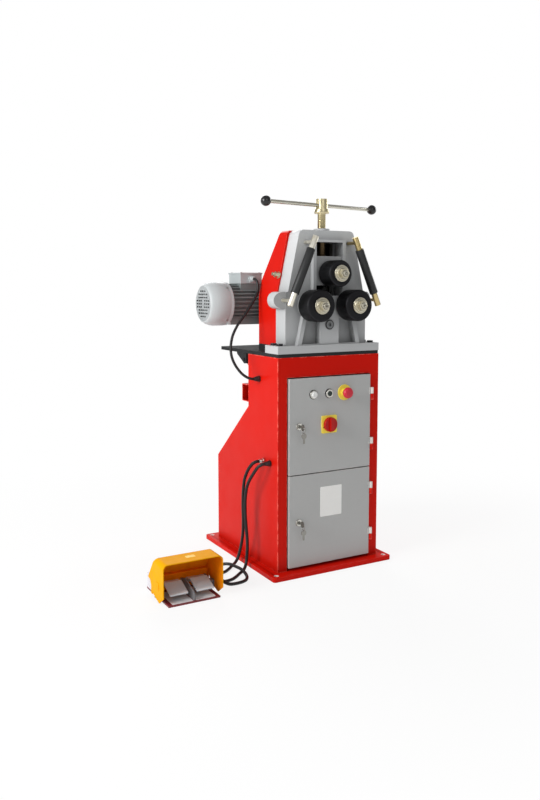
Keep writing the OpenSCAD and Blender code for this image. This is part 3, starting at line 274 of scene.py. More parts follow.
def metal(name, colour, rough, vary, tint=None, streak=None, thread=None, corner_shade=0.0):
    """Plated or machined steel with a drift of tone and fine tool marks.

    tint: colour of stains. streak: stretch of the tool marks. thread: axis, pitch, start, end and depth.
    corner: reach of the painted shade in corners.
    """
    g = Graph(name)
    col = g.two_tone(11, colour, vary)
    if tint:
        col = g.mix(g.remap(g.noise(26, 5, 0.7), 0.48, 0.72, 0, 0.55), col, tint)
    col = g.mix(g.remap(g.noise(300, 3), 0.55, 0.8, 0, 0.15), col, shade(colour, 0.5))
    # painted shade in corners
    if corner_shade:
        col = g.mix(g.corners(corner_shade, 0.45, 0.9, 0.85), col, shade(colour, 0.12))
    n = g.bump(g.noise(420, 3, 0.6, streak), 0.00006)
    if thread:
        axis, pitch, start, end, depth = thread
        at = g.axis(axis)
        n = g.bump(g.both(g.zigzag(at, pitch), g.between(at, (start, end))), depth, n)
    g.bsdf.inputs["Metallic"].default_value = 1.0
    return g.finish(col, g.drift(45, rough - 0.07, rough + 0.1), n)


def moulded(name, colour, rough, vary, grain=(700, 0.00005), specular=0.5, dots=None, ridges=None):
    """Moulded plastic or rubber with a slight drift of tone and handling marks.

    grain, dots: scale and depth of the spark-eroded grain and of raised dots. ridges: axis, pitch and depth.
    """
    g = Graph(name)
    col = g.two_tone(14, colour, vary)
    col = g.mix(g.remap(g.noise(75, 5, 0.7), 0.6, 0.78, 0, 0.25), col, shade(colour, 1.35))
    n = g.bump(g.noise(grain[0], 2), grain[1])
    if dots:
        v = g.node("TexVoronoi", Scale=dots[0])
        g.link(g.coord, v.inputs["Vector"])
        n = g.bump(g.remap(v.outputs["Distance"], 0.1, 0.5, 1, 0), dots[1], n)
    if ridges:
        axis, pitch, depth = ridges
        n = g.bump(g.zigzag(g.axis(axis), pitch), depth, n)
    g.bsdf.inputs["Specular IOR Level"].default_value = specular
    return g.finish(col, g.drift(38, rough - 0.06, rough + 0.1), n)


def split(g, test, other, metallic=None, rough=None):
    """Turns a finish into a second colour where test(graph) is 1."""
    fac = test(g)
    plain = g.bsdf.inputs["Base Color"].links[0].from_socket
    g.link(g.mix(fac, plain, g.two_tone(19, other, 0.1)), g.bsdf.inputs["Base Color"])
    for key, v in (("Metallic", metallic), ("Roughness", rough)):
        if v:
            g.link(g.remap(fac, 0, 1, v[0], v[1]), g.bsdf.inputs[key])
    return g


# Finishes: limits at which a node turns into its second colour, in metres
# EAR_FACING is the Y part of a face's direction, PEDAL_LIP_RUB a strength
# SLOT_HALF, SLOT_FRONT and SLOT_SHADE_Z bound the painted shade in the slot
SLOT_HALF = 0.0545
SLOT_FRONT = -0.190
SLOT_SHADE_Z = (1.10, 1.17)
# EAR_X, EAR_Z and EAR_FACING bound the painted shade on the ears' front faces
EAR_X = 0.1665
EAR_Z = (0.92, 0.986)
EAR_FACING = -0.6
LOW_GLANDS_Z = 0.5
PLATED_GLAND_Y = -0.164
# ANCHOR_X, ANCHOR_Y and ANCHOR_R place the pale painted highlight in the anchor holes
ANCHOR_X = 0.2265
ANCHOR_Y = 0.2590
ANCHOR_R = 0.0085
PLUG_DISH_R = 0.0135
HINGE_X = 0.1683
PEDAL_LIP_Y = (-0.270, -0.276)
PEDAL_LIP_RUB = 0.7
# FAN_END_X and MOTOR_END_X mark ends that get painted shade
FAN_END_X = -0.3462
MOTOR_RIM_X = -0.2588
MOTOR_END_X = -0.2708
# below SCREW_SHADE_Z the feed screw gets painted shade; above SCREW_HUB_Z its hub is lighter
SCREW_SHADE_Z = 1.2
SCREW_HUB_Z = 1.25
DARK_PINS_Y = -0.1
YELLOW_BACK_Y = -0.2445
HOUSING_FRONT_Y = -0.1715
COVER_BOLT_Z = 0.95
PEDAL_BASE_Z = 0.0064

# Finishes: middles of the shells whose inner faces get painted shade
FAN_MIDDLE = (-0.3, MOTOR_Y, MOTOR_Z)
COVER_MIDDLE = (0, -0.09, 0.96)
HOOD_MIDDLE = (PEDAL_X, -0.225, 0.06)


def past(axis, limit):
    """A test that is 1 beyond a place on an axis."""
    return lambda g: g.above(g.axis(axis), limit)


def before(axis, limit):
    """A test that is 1 short of a place on an axis."""
    return lambda g: g.below(g.axis(axis), limit)


def inside(centre):
    """A test that is 1 on the faces of a shell that look at its middle, where painted shade goes."""
    def test(g):
        away = g.node("VectorMath")
        away.operation = "SUBTRACT"
        away.inputs[1].default_value = centre
        g.link(g.coord, away.inputs[0])
        return g.below(g.dot(away.outputs[0], g.normal()), 0.0)
    return test


def slot_shade(g):
    """1 on the walls of the slot above the slide block, which get painted shade."""
    side = g.below(g.math("ABSOLUTE", g.axis(X)), SLOT_HALF)
    deep = g.above(g.axis(Y), SLOT_FRONT)
    return g.both(g.both(side, deep), g.between(g.axis(Z), SLOT_SHADE_Z))


def ear_front_shade(g):
    """1 on the front faces of the two ears, which get painted shade."""
    out = g.above(g.math("ABSOLUTE", g.axis(X)), EAR_X)
    front = g.below(g.part_of(g.normal(), Y), EAR_FACING)
    return g.both(g.both(out, g.between(g.axis(Z), EAR_Z)), front)


def plated_gland(g):
    """1 on the rear one of the two low glands."""
    return g.both(g.below(g.axis(Z), LOW_GLANDS_Z), g.above(g.axis(Y), PLATED_GLAND_Y))


def hole_wall_light(g):
    """1 on the walls of the anchor holes, which get a pale painted highlight."""
    x = g.math("SUBTRACT", g.math("ABSOLUTE", g.axis(X)), ANCHOR_X)
    y = g.math("SUBTRACT", g.math("ABSOLUTE", g.axis(Y)), ANCHOR_Y)
    return g.below(g.squares(x, y), ANCHOR_R ** 2)


def plug_ring(g):
    """1 on the outer ring of the plug, 0 on its dished middle."""
    z = g.math("SUBTRACT", g.axis(Z), PINION_Z)
    return g.above(g.squares(g.axis(X), z), PLUG_DISH_R ** 2)


def pedal_lip(g):
    """Rises towards the low front lip of a pedal, which shoes scuff bright."""
    return g.remap(g.axis(Y), PEDAL_LIP_Y[0], PEDAL_LIP_Y[1], 0.0, PEDAL_LIP_RUB)


# Finishes: those of the object
RED = rgb(207, 22, 8)
# a light red for painted highlights along the edges of the red paint
EDGE_SHEEN_RED = rgb(250, 116, 100)
FAN_GREY = rgb(192, 196, 197)
STEEL = rgb(190, 190, 188)
NICKEL = rgb(205, 203, 196)
BLACK_OXIDE = rgb(62, 62, 64)


def drive_paint(name):
    """Dark grey of the cast gearbox and motor."""
    return paint(name, rgb(120, 128, 128), rough=0.44, vary=0.04, cast=(120, 0.0003),
                 edge_wear_and_sheen=(rgb(168, 168, 168), 0.0012, 0.5), specular=0.3)


def motor_paint():
    """Motor housing with a light rim under the fan cover and painted shade on the end behind the air slots.
    """
    g = split(drive_paint("motor_grey"), before(X, MOTOR_RIM_X), FAN_GREY)
    return split(g, before(X, MOTOR_END_X), rgb(30, 31, 32))


def fan_paint():
    """Light grey sheet with painted shade on its flat end and on its inner faces."""
    g = paint("fan_grey", FAN_GREY, rough=0.4, vary=0.03, edge_wear_and_sheen=(rgb(222, 222, 222), 0.0015, 0.5),
              specular=0.35)
    g = split(g, before(X, FAN_END_X), rgb(158, 162, 163))
    return split(g, inside(FAN_MIDDLE), rgb(34, 35, 36))


def cast_paint():
    """Grey casting with painted shade in its corners, on its lower part, on the slot walls and on the ears'
    front faces.
    """
    g = paint("cast_grey", rgb(206, 208, 209), rough=0.46, vary=0.04, cast=(85, 0.0006),
              corner_shade=(0.11, 0.85), low_shade=(0.95, 1.16, 0.3), edge_wear_and_sheen=(rgb(222, 222, 222), 0.003, 0.6),
              specular=0.3)
    return split(split(g, slot_shade, rgb(104, 101, 95)), ear_front_shade, rgb(134, 135, 135))


def screw_metal():
    """Plated feed screw with painted shade on its lower thread and a lighter hub."""
    g = metal("screw_zinc", rgb(180, 168, 130), rough=0.34, vary=0.08, tint=rgb(160, 138, 88),
              thread=(Z, 0.006, 1.1065, 1.2325, 0.0009))
    g = split(g, before(Z, SCREW_SHADE_Z), rgb(96, 80, 58))
    return split(g, past(Z, SCREW_HUB_Z), rgb(216, 204, 166))


FINISHES = {
    # red paint: painted highlights along the edges and painted shade in corners
    "red_paint": paint("red_paint", RED, rough=0.34, vary=0.03, peel=(420, 0.00003), edge_wear_and_sheen=(EDGE_SHEEN_RED, 0.005, 1.6),
                       grime=0.08, corner_shade=(0.05, 0.75), specular=0.08, speck=0.03),
    # base plate: painted highlights along the edges and a pale painted highlight on the anchor hole walls
    "base_plate": split(paint("base_plate_paint", RED, rough=0.36, vary=0.04, edge_wear_and_sheen=(EDGE_SHEEN_RED, 0.002, 0.4),
                              grime=0.06, specular=0.08, speck=0.03),
                        hole_wall_light, rgb(226, 206, 202)),
    # gear cover: painted highlights along the edges and painted shade on the inner faces
    "gear_cover": split(paint("cover_red", RED, rough=0.34, vary=0.03, edge_wear_and_sheen=(EDGE_SHEEN_RED, 0.0024, 0.5),
                              specular=0.08, speck=0.03),
                        inside(COVER_MIDDLE), rgb(38, 30, 30)),
    # doors: a painted highlight along the edges, and pale hinges
    "door_grey": split(paint("door_grey", rgb(182, 183, 182), rough=0.42, vary=0.025, peel=(700, 0.00006),
                             edge_wear_and_sheen=(rgb(238, 230, 224), 0.0025, 1.0), specular=0.3),
                       past(X, HINGE_X), rgb(236, 228, 222)),
    "cast_grey": cast_paint(),
    # slide block: painted shade in corners
    "slide_grey": paint("slide_grey", rgb(172, 174, 175), rough=0.42, vary=0.05, cast=(140, 0.0003),
                        corner_shade=(0.05, 0.6), edge_wear_and_sheen=(rgb(212, 212, 210), 0.002, 0.6), specular=0.35),
    "black_paint": paint("black_paint", rgb(48, 49, 50), rough=0.68, vary=0.1,
                         edge_wear_and_sheen=(rgb(110, 108, 104), 0.0015, 0.5), specular=0.05),
    "gearbox_grey": drive_paint("gearbox_grey"),
    "motor_grey": motor_paint(),
    "fan_grey": fan_paint(),
    "box_grey": paint("box_grey", rgb(178, 185, 186), rough=0.44, vary=0.03, cast=(120, 0.0002),
                      edge_wear_and_sheen=(rgb(214, 214, 214), 0.0015, 0.5), specular=0.35),
    "pedal_base": split(paint("pedal_base", rgb(118, 30, 38), rough=0.42, vary=0.1,
                              edge_wear_and_sheen=(rgb(176, 120, 118), 0.0012, 0.5)),
                        past(Z, PEDAL_BASE_Z), rgb(120, 121, 124)),
    "label": paint("label_white", rgb(242, 242, 239), rough=0.36, vary=0.01, peel=(900, 0.00002)),
    "rolled_black": metal("rolled_black", rgb(46, 46, 48), rough=0.5, vary=0.16, streak=(1, 12, 1)),
    # zinc and yellow zinc: painted shade in corners
    "zinc": metal("zinc", rgb(224, 218, 198), rough=0.32, vary=0.07, tint=rgb(214, 200, 158), corner_shade=0.007),
    "pale_zinc": metal("pale_zinc", rgb(243, 239, 226), rough=0.44, vary=0.05, tint=rgb(228, 218, 188)),
    "yellow_zinc": metal("yellow_zinc", rgb(204, 184, 132), rough=0.32, vary=0.07, tint=rgb(182, 156, 92),
                         corner_shade=0.007),
    "bar": metal("bar_zinc", rgb(206, 203, 190), rough=0.3, vary=0.05, tint=rgb(198, 192, 168),
                 streak=(0.2, 1, 1)),
    "shaft": metal("shaft_steel", rgb(196, 192, 178), rough=0.32, vary=0.1, streak=(1, 8, 1),
                   thread=(Y, 0.0025, -0.333, -0.313, 0.0006)),
    "screw": screw_metal(),
    "pins": split(metal("pin_steel", STEEL, rough=0.3, vary=0.1),
                  past(Y, DARK_PINS_Y), rgb(40, 40, 42), rough=(0.3, 0.5)),
    "head_bolts": split(metal("bolts_black", BLACK_OXIDE, rough=0.42, vary=0.16),
                        past(Z, COVER_BOLT_Z), rgb(214, 206, 178), rough=(0.42, 0.3)),
    "steel": metal("steel", STEEL, rough=0.3, vary=0.1),
    "sheet_steel": metal("sheet_steel", rgb(186, 190, 190), rough=0.42, vary=0.1, streak=(1, 1, 0.15)),
    "bolt_black": metal("bolt_black", BLACK_OXIDE, rough=0.42, vary=0.16),
    "nickel": metal("nickel", NICKEL, rough=0.24, vary=0.08),
    "key": metal("key_steel", rgb(150, 148, 142), rough=0.36, vary=0.1),
    "bronze": metal("bronze", rgb(176, 134, 70), rough=0.36, vary=0.12),
    "start_green": moulded("start_green", rgb(24, 40, 34), rough=0.32, vary=0.1),
    "black_plastic": moulded("black_plastic", rgb(26, 26, 27), rough=0.26, vary=0.15),
    "sleeve_black": moulded("sleeve_black", rgb(36, 37, 38), rough=0.46, vary=0.12, grain=(900, 0.00012),
                            specular=0.4),
    "red_plastic": moulded("red_plastic", rgb(182, 20, 16), rough=0.32, vary=0.05, specular=0.3),
    "stop_red": moulded("stop_red", rgb(208, 46, 64), rough=0.36, vary=0.05, specular=0.35),
    "white_plastic": moulded("white_plastic", rgb(232, 232, 230), rough=0.3, vary=0.03,
                             ridges=(Z, 0.0022, 0.0005)),
    "yellow_plastic": split(moulded("yellow_plastic", rgb(250, 228, 84), rough=0.36, vary=0.03,
                                    specular=0.35),
                            past(Y, YELLOW_BACK_Y), rgb(52, 52, 54)),
    # hood: painted shade, a deeper orange, on the inner faces
    "hood_yellow": split(moulded("hood_yellow", rgb(234, 165, 6), rough=0.5, vary=0.03,
                                 grain=(430, 0.00012), specular=0.05),
                         inside(HOOD_MIDDLE), rgb(240, 138, 8)),
    "hood_mark": moulded("hood_mark", rgb(250, 202, 70), rough=0.42, vary=0.03, specular=0.3),
    "pinion_plug": split(moulded("plug_grey", rgb(120, 122, 123), rough=0.4, vary=0.08),
                         plug_ring, rgb(34, 34, 35)),
    "pedal_grey": split(moulded("pedal_grey", rgb(188, 203, 211), rough=0.5, vary=0.05, dots=(420, 0.0006)),
                        pedal_lip, rgb(224, 228, 232)),
    # switch box: painted shade on its front face, within the hood
    "housing": split(moulded("housing_grey", rgb(210, 208, 214), rough=0.42, vary=0.03),
                     before(Y, HOUSING_FRONT_Y), rgb(44, 40, 40)),
    "glands": split(moulded("gland_black", rgb(30, 30, 31), rough=0.36, vary=0.12),
                    plated_gland, NICKEL, metallic=(0, 1), rough=(0.36, 0.26)),
    "rubber": moulded("cable_rubber", rgb(27, 27, 28), rough=0.44, vary=0.16, grain=(1200, 0.0001),
                      specular=0.4),
    "liner": moulded("pedal_liner", rgb(228, 228, 230), rough=0.5, vary=0.08, ridges=(Y, 0.009, 0.0014)),
}

# Nodes of the model: finish and small edge radii
SHARP_EDGE = math.radians(32)
WELD = 0.00001


def ease_edges(o, width, segments=2):
    """Small radii on the sharp edges of an object."""
    b = o.modifiers.new("edges", "BEVEL")
    b.width = width
    b.segments = segments
    b.limit_method = "ANGLE"
    b.angle_limit = SHARP_EDGE
    b.use_clamp_overlap = True
    b.harden_normals = True


def dress(name, material, bevel=0.0, segments=2):
    """Gives a node its finish and its edge radius."""
    o = nodes[name]
    o.data.materials.clear()
    o.data.materials.append(FINISHES[material].mat)
    if bevel:
        w = o.modifiers.new("weld", "WELD")
        w.merge_threshold = WELD
        ease_edges(o, bevel, segments)


dress("base_plate", "base_plate", 0.0015)
dress("cabinet_body", "red_paint", 0.0012)
dress("cabinet_front", "red_paint", 0.0008)
dress("hinge_pins", "pins", 0.0006)
dress("cabinet_glands", "glands", 0.0006)
dress("electrical_plate", "sheet_steel", 0.0008)
dress("pedal_base", "pedal_base", 0.0006)
dress("pedal_hood", "hood_yellow", 0.001)
dress("pedal_switch_box", "housing", 0.002)
dress("left_pedal", "pedal_grey", 0.001)
dress("right_pedal", "pedal_grey", 0.001)
for level in ("upper", "lower"):
    dress(level + "_door", "door_grey", 0.0009)
    dress(level + "_lock", "nickel", 0.0006)
    dress(level + "_key", "key", 0.0003)
dress("pilot_lamp", "white_plastic", 0.0006)
dress("button_bezel", "nickel", 0.0005)
dress("estop_base", "yellow_plastic", 0.0006)
dress("switch_plate", "yellow_plastic", 0.001)
dress("start_button", "start_green", 0.0006)
dress("estop_plunger", "black_plastic", 0.0005)
dress("estop_cap", "stop_red", 0.001)
dress("switch_knob", "red_plastic", 0.0008)
dress("tilt_plate", "black_paint", 0.0012)
dress("roll_frame", "cast_grey", 0.0025, segments=3)
dress("gear_cover", "gear_cover", 0.0012)
dress("gearbox", "gearbox_grey", 0.002)
dress("motor_body", "motor_grey", 0.0008)
dress("fan_cover", "fan_grey", 0.0006)
dress("terminal_box", "box_grey", 0.0015)
dress("feed_nut", "bronze", 0.0005)
dress("head_bolts", "head_bolts", 0.0008)
dress("shaft_bearings", "steel", 0.0005)
dress("pinion_plug", "pinion_plug", 0.0006)
dress("slide_block", "slide_grey", 0.0012)
dress("slide_bearings", "steel", 0.0005)
dress("feed_screw", "screw", 0.0012)
dress("handle_bar", "bar", 0.0008)
dress("handle_knobs", "black_plastic")
for side in ("upper", "left", "right"):
    dress(side + "_roll", "rolled_black", 0.0008)
    dress(side + "_shaft", "shaft", 0.0005)
    dress(side + "_nut", "zinc", 0.001)
for side, plating in (("left", "pale_zinc"), ("right", "yellow_zinc")):
    dress(side + "_gear", "steel", 0.0004)
    dress(side + "_guide", plating, 0.0008)
    dress(side + "_sleeve", "sleeve_black", 0.0008)
dress("drive_pinion", "steel", 0.0004)


# New pieces: tools
def mesh_piece(name, shape, material, body, smooth=35, bevel=0.0, ride=True):
    """A new object from (points, faces), in a finish, on a body."""
    verts, faces = shape
    me = bpy.data.meshes.new(name)
    me.from_pydata([tuple(v) for v in verts], [], faces)
    me.validate()
    me.update()
    o = bpy.data.objects.new(name, me)
    scene.collection.objects.link(o)
    me.materials.append(FINISHES[material].mat)
    for p in me.polygons:
        p.use_smooth = True
    me.set_sharp_from_angle(angle=math.radians(smooth))
    if bevel:
        ease_edges(o, bevel)
    if ride:
        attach(o, body)
    return o


def join(shapes):
    """Several shapes as one."""
    verts, faces = [], []
    for v, f in shapes:
        n = len(verts)
        verts += list(v)
        faces += [tuple(i + n for i in face) for face in f]
    return verts, faces


def spokes(count, start=0):
    """Cosine and sine of equal steps around a circle, from a start in degrees."""
    angles = [math.radians(start + 360 * k / count) for k in range(count)]
    return [(math.cos(a), math.sin(a)) for a in angles]


def upright(direction):
    """The Z axis, or the Y axis for a direction that is itself nearly upright."""
    return Vector(UP) if abs(direction.z) < 0.9 else Vector(BACK)


def curve_points(points, first, last, step=0.004):
    """A smooth line through the route's points, leaving both ends in the given directions."""
    pts = [Vector(p) / 1000 for p in points]
    tang = []
    for i, p in enumerate(pts):
        if i == 0:
            tang.append(Vector(first) * (pts[1] - p).length)
        elif i == len(pts) - 1:
            tang.append(Vector(last) * (p - pts[i - 1]).length)
        else:
            a, b = (p - pts[i - 1]), (pts[i + 1] - p)
            d = a / a.length * b.length + b / b.length * a.length
            tang.append(d / d.length * min(a.length, b.length))
    out = [pts[0]]
    for i in range(len(pts) - 1):
        p0, p1, m0, m1 = pts[i], pts[i + 1], tang[i], tang[i + 1]
        n = max(2, round((p1 - p0).length / step))
        for k in range(1, n + 1):
            t = k / n
            out.append(p0 * (2 * t ** 3 - 3 * t * t + 1) + m0 * (t ** 3 - 2 * t * t + t)
                       + p1 * (-2 * t ** 3 + 3 * t * t) + m1 * (t ** 3 - t * t))
    return out


def tube(path, radius, sides=14):
    """Rings of points carried along a path, with closed ends."""
    verts, faces = [], []
    side = None
    for i, p in enumerate(path):
        d = (path[min(i + 1, len(path) - 1)] - path[max(i - 1, 0)]).normalized()
        if side is None:
            side = d.cross(upright(d)).normalized()
        side = (side - d * side.dot(d)).normalized()
        up = d.cross(side)
        for c, s in spokes(sides):
            verts.append(p + (side * c + up * s) * radius)
    for i in range(len(path) - 1):
        for k in range(sides):
            j = (k + 1) % sides
            faces.append((i * sides + k, i * sides + j, (i + 1) * sides + j, (i + 1) * sides + k))
    faces.append(tuple(range(sides - 1, -1, -1)))
    faces.append(tuple((len(path) - 1) * sides + k for k in range(sides)))
    return verts, faces


def lathe(profile, origin, axis, sides=24):
    """A profile of (radius, height) turned about an axis; a last radius of 0 closes it to a point."""
    axis = Vector(axis).normalized()
    up = upright(axis)
    up = (up - axis * up.dot(axis)).normalized()
    side = axis.cross(up)
    verts, faces, rows = [], [], []
    for r, h in profile:
        centre = Vector(origin) + axis * h
        first = len(verts)
        if r:
            verts += [centre + (up * c + side * s) * r for c, s in spokes(sides)]
        else:
            verts.append(centre)
        rows.append(range(first, len(verts)))
    for a, b in zip(rows, rows[1:]):
        for k in range(sides):
            j = (k + 1) % sides
            if len(b) == 1:
                faces.append((a[k], a[j], b[0]))
            else:
                faces.append((a[k], a[j], b[j], b[k]))
    return verts, faces


def cap_screw(at, axis, d, h, socket=0.5):
    """Socket head: bevelled rim and a recessed socket."""
    r = d / 2
    profile = [(r, -h * 0.2), (r, h * 0.85), (r * 0.9, h), (r * socket, h), (r * socket * 0.92, h * 0.45),
               (0, h * 0.4)]
    return lathe(profile, at, axis, 18)


def hex_head(at, axis, across, h):
    """Hexagon head with a turned top, on a flat washer."""
    r = across / math.sqrt(3)
    w = r * 1.25
    washer = lathe([(w, -h * 0.1), (w, h * 0.18), (w * 0.96, h * 0.24), (0, h * 0.24)], at, axis)
    head = lathe([(r, h * 0.2), (r, h * 0.9), (r * 0.88, h), (0, h)], at, axis, 6)
    return join([washer, head])


def plate(x, z, y, r, steps=5, ease=0.0004):
    """Rounded sheet in the X-Z plane; y is (front, back). Its front edge is eased."""
    corners = ((x[1] - r, z[1] - r), (x[0] + r, z[1] - r), (x[0] + r, z[0] + r), (x[1] - r, z[0] + r))

    def ring(inset, depth):
        out = []
        for quarter, (cx, cz) in enumerate(corners):
            for k in range(steps + 1):
                a = math.radians(90 * quarter + 90 * k / steps)
                out.append(Vector((cx, depth, cz)) + Vector((math.cos(a), 0, math.sin(a))) * (r - inset))
        return out

    rows = [ring(0, y[1]), ring(0, y[0] + ease), ring(ease, y[0])]
    n = len(rows[0])
    verts = [p for row in rows for p in row]
    faces = []
    for i in range(len(rows) - 1):
        for k in range(n):
            j = (k + 1) % n
            faces.append((i * n + j, (i + 1) * n + j, (i + 1) * n + k, i * n + k))
    faces.append(tuple(2 * n + k for k in range(n)))
    return verts, faces


def flat_plate(x, y, top, thick, r):
    """The same sheet laid flat, with its eased edge on top."""
    verts, faces = plate(x, y, (0, thick), r)
    return [Vector((p.x, p.z, top - p.y)) for p in verts], [tuple(reversed(f)) for f in faces]


# Cables: the routes repeat the solids of the model, in millimetres
MOTOR_ROUTE = [
    (-176, -6, 1027.105), (-176, -14, 1026.105), (-174, -24, 1018.105), (-175, -33, 987), (-188, -39, 964),
    (-203, -43, 942), (-221, -47, 920), (-239, -51, 898), (-272, -59, 862), (-294, -66, 826),
    (-304, -73, 790), (-304, -80, 757), (-292, -87, 725), (-272, -96, 697), (-255, -103, 684),
    (-241, -107, 679), (-231, -107, 678)]
LEFT_ROUTE = [
    (-231, -143, 392), (-241, -143, 392), (-252, -139, 387), (-261, -125, 367), (-266, -103, 329),
    (-266, -90, 278), (-266, -87, 226), (-265, -87, 185), (-263, -82, 135), (-261, -69, 92), (-260, -53, 55),
    (-262, -45, 32), (-270, -46, 15), (-283, -54, 7.4), (-299, -67, 5.6), (-323, -91, 5.6),
    (-349, -111, 5.6), (-364, -119, 7.5), (-380, -123, 13), (-397, -124, 21), (-413, -123, 28),
    (-426, -122, 31.5), (-434, -122, 32), (-441, -122, 32)]
RIGHT_ROUTE = [
    (-231, -185, 391), (-240, -185, 390.5), (-252, -178, 382), (-261, -160, 357), (-266, -126, 313),
    (-266, -110, 276), (-265, -102, 236), (-264, -101, 200), (-262, -104, 152), (-260, -107, 112),
    (-259, -107, 78), (-259, -104, 51), (-261, -104, 31), (-268, -111, 15), (-280, -123, 7.4),
    (-296, -138, 5.6), (-314, -153, 5.6), (-338, -174, 5.6), (-361, -189, 5.6), (-389, -194, 5.6),
    (-415, -186, 5.6), (-432, -165, 5.6), (-437, -139, 5.6), (-432, -112, 5.6), (-418, -86, 5.6),
    (-396, -67, 6), (-370, -57, 8), (-346, -56, 11.5), (-326, -65, 15.5), (-314, -84, 17.5),
    (-309, -110, 17.9), (-304, -142, 17.6), (-302, -170, 13), (-306, -194, 7.6), (-318, -213, 5.6),
    (-337, -225, 5.6), (-367, -229, 5.6), (-388, -226, 6.8), (-401, -214, 11.8), (-405.5, -199, 17),
    (-405.5, -187, 20.2), (-405, -178, 23), (-409.8, -160, 28), (-423, -147, 31), (-434, -142.4, 32),
    (-441, -142, 32)]
MOTOR_CORD_R = 0.0047
PEDAL_CORD_R = 0.0056
# the motor cable goes over from the stand to the head between these two places; cord() reads only that they
# are given
MOTOR_CORD_BLEND = ("stand", "head", (-0.231, -0.107, 0.690), (-0.176, -0.019, 1.010))


def cord(name, route, radius, first, last, node, blend=None):
    """A cable in place of its solid; with a blend it rides no body and keeps its place as drawn."""
    path = curve_points(route, first, last)
    o = mesh_piece(name, tube(path, radius), "rubber", "stand", ride=blend is None)
    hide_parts(node)
    if blend:
        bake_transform(o)


cord("motor_cord", MOTOR_ROUTE, MOTOR_CORD_R, FRONT, RIGHT, "motor_cable",
     MOTOR_CORD_BLEND)
cord("left_pedal_cord", LEFT_ROUTE, PEDAL_CORD_R, LEFT, LEFT, "left_pedal_cable")
cord("right_pedal_cord", RIGHT_ROUTE, PEDAL_CORD_R, LEFT, LEFT, "right_pedal_cable")

# Lower door: the bare label plate
LABEL_X = (-0.0423, 0.0476)
LABEL_Z = (0.1925, 0.2995)
LABEL_THICK = 0.0008
mesh_piece("label_plate", plate(LABEL_X, LABEL_Z, (DOOR_FRONT - LABEL_THICK, DOOR_FRONT), r=0.003),
           "label", "lower_door", smooth=20)

# Upper door: gaskets of lamp and button, lamp bezel, index mark of the switch
LAMP_AT = (-0.0725, DOOR_FRONT, 0.629)
BUTTON_AT = (-0.0085, DOOR_FRONT, 0.629)
SWITCH_MARK_AT = (-0.0315, DOOR_FRONT - 0.004, 0.511)
ROUND_SIDES = 40
GASKET = [(0.0166, 0), (0.0166, 0.0008), (0.0162, 0.0012), (0.0140, 0.0012)]
LAMP_BEZEL = [(0.0150, 0), (0.0150, 0.0030), (0.0144, 0.0040), (0.0132, 0.0045), (0.0118, 0.0045),
              (0.0116, 0.0036)]
mesh_piece("control_gaskets", join([lathe(GASKET, at, FRONT, ROUND_SIDES) for at in (LAMP_AT, BUTTON_AT)]),
           "black_plastic", "upper_door")
mesh_piece("lamp_bezel", lathe(LAMP_BEZEL, LAMP_AT, FRONT, ROUND_SIDES), "nickel", "upper_door")
mesh_piece("switch_mark", cap_screw(SWITCH_MARK_AT, FRONT, d=0.0054, h=0.0008, socket=0.7),
           "black_plastic", "upper_door")

# Drive: lid screws, fan cover screws, flange bolts and cap screws of the gearbox, on circles
LID_X = (-0.213, -0.139)
LID_Y = (0.023, 0.103)
LID_TOP = MOTOR_Z + 0.112
FAN_RIM = Vector((-0.278, MOTOR_Y, MOTOR_Z))
FAN_RIM_R = 0.079
FLANGE = Vector((-0.078, MOTOR_Y, MOTOR_Z))
FLANGE_R = 0.058
GEARBOX_COVER = Vector((0, 0.114, PINION_Z))
GEARBOX_COVER_R = 0.033
WORM_CAP = Vector((0.086, MOTOR_Y, MOTOR_Z))
WORM_CAP_R = 0.027
lid_screws = [cap_screw((x, y, LID_TOP), UP, d=0.0085, h=0.0016) for x in LID_X for y in LID_Y]
mesh_piece("terminal_lid_screws", join(lid_screws), "steel", "head")
motor_bolts = []
for c, s in spokes(4, 45):
    out = Vector((0, c, s))
    motor_bolts.append(cap_screw(FAN_RIM + out * FAN_RIM_R, out, d=0.008, h=0.0026))
    motor_bolts.append(hex_head(FLANGE + out * FLANGE_R, RIGHT, across=0.013, h=0.0085))
mesh_piece("motor_bolts", join(motor_bolts), "steel", "head")
gearbox_screws = []
for c, s in spokes(6, 30):
    at = GEARBOX_COVER + Vector((c, 0, s)) * GEARBOX_COVER_R
    gearbox_screws.append(cap_screw(at, BACK, d=0.0085, h=0.0045))
for c, s in spokes(4, 45):
    at = WORM_CAP + Vector((0, c, s)) * WORM_CAP_R
    gearbox_screws.append(cap_screw(at, RIGHT, d=0.0075, h=0.004))
mesh_piece("gearbox_screws", join(gearbox_screws), "bolt_black", "head")

# Foot switch: ribbed liners on the base
LINER_X = (0.004, 0.075)
LINER_Y = (-0.296, -0.184)
LINER_TOP = 0.0068
LINER_THICK = 0.0008
liners = []
for sign in (-1, 1):
    x = sorted(PEDAL_X + sign * edge for edge in LINER_X)
    liners.append(flat_plate(x, LINER_Y, LINER_TOP, LINER_THICK, r=0.003))
mesh_piece("pedal_liners", join(liners), "liner", "stand", smooth=20)

# Foot switch: the hood's back is carried down in front of the switch box
BACK_HALF = 0.1005
BACK_Y = -0.1745
BACK_FOLD_Y = -0.1885
BACK_Z = (0.0085, 0.0585)
BACK_THICK = 0.0012
# width inside the folded ends as a share of the width outside
BACK_INNER = 0.988
LEDGE = [(-0.1622, 0.0596), (-0.1757, 0.0590), (-0.1757, 0.0578), (-0.1622, 0.0584)]


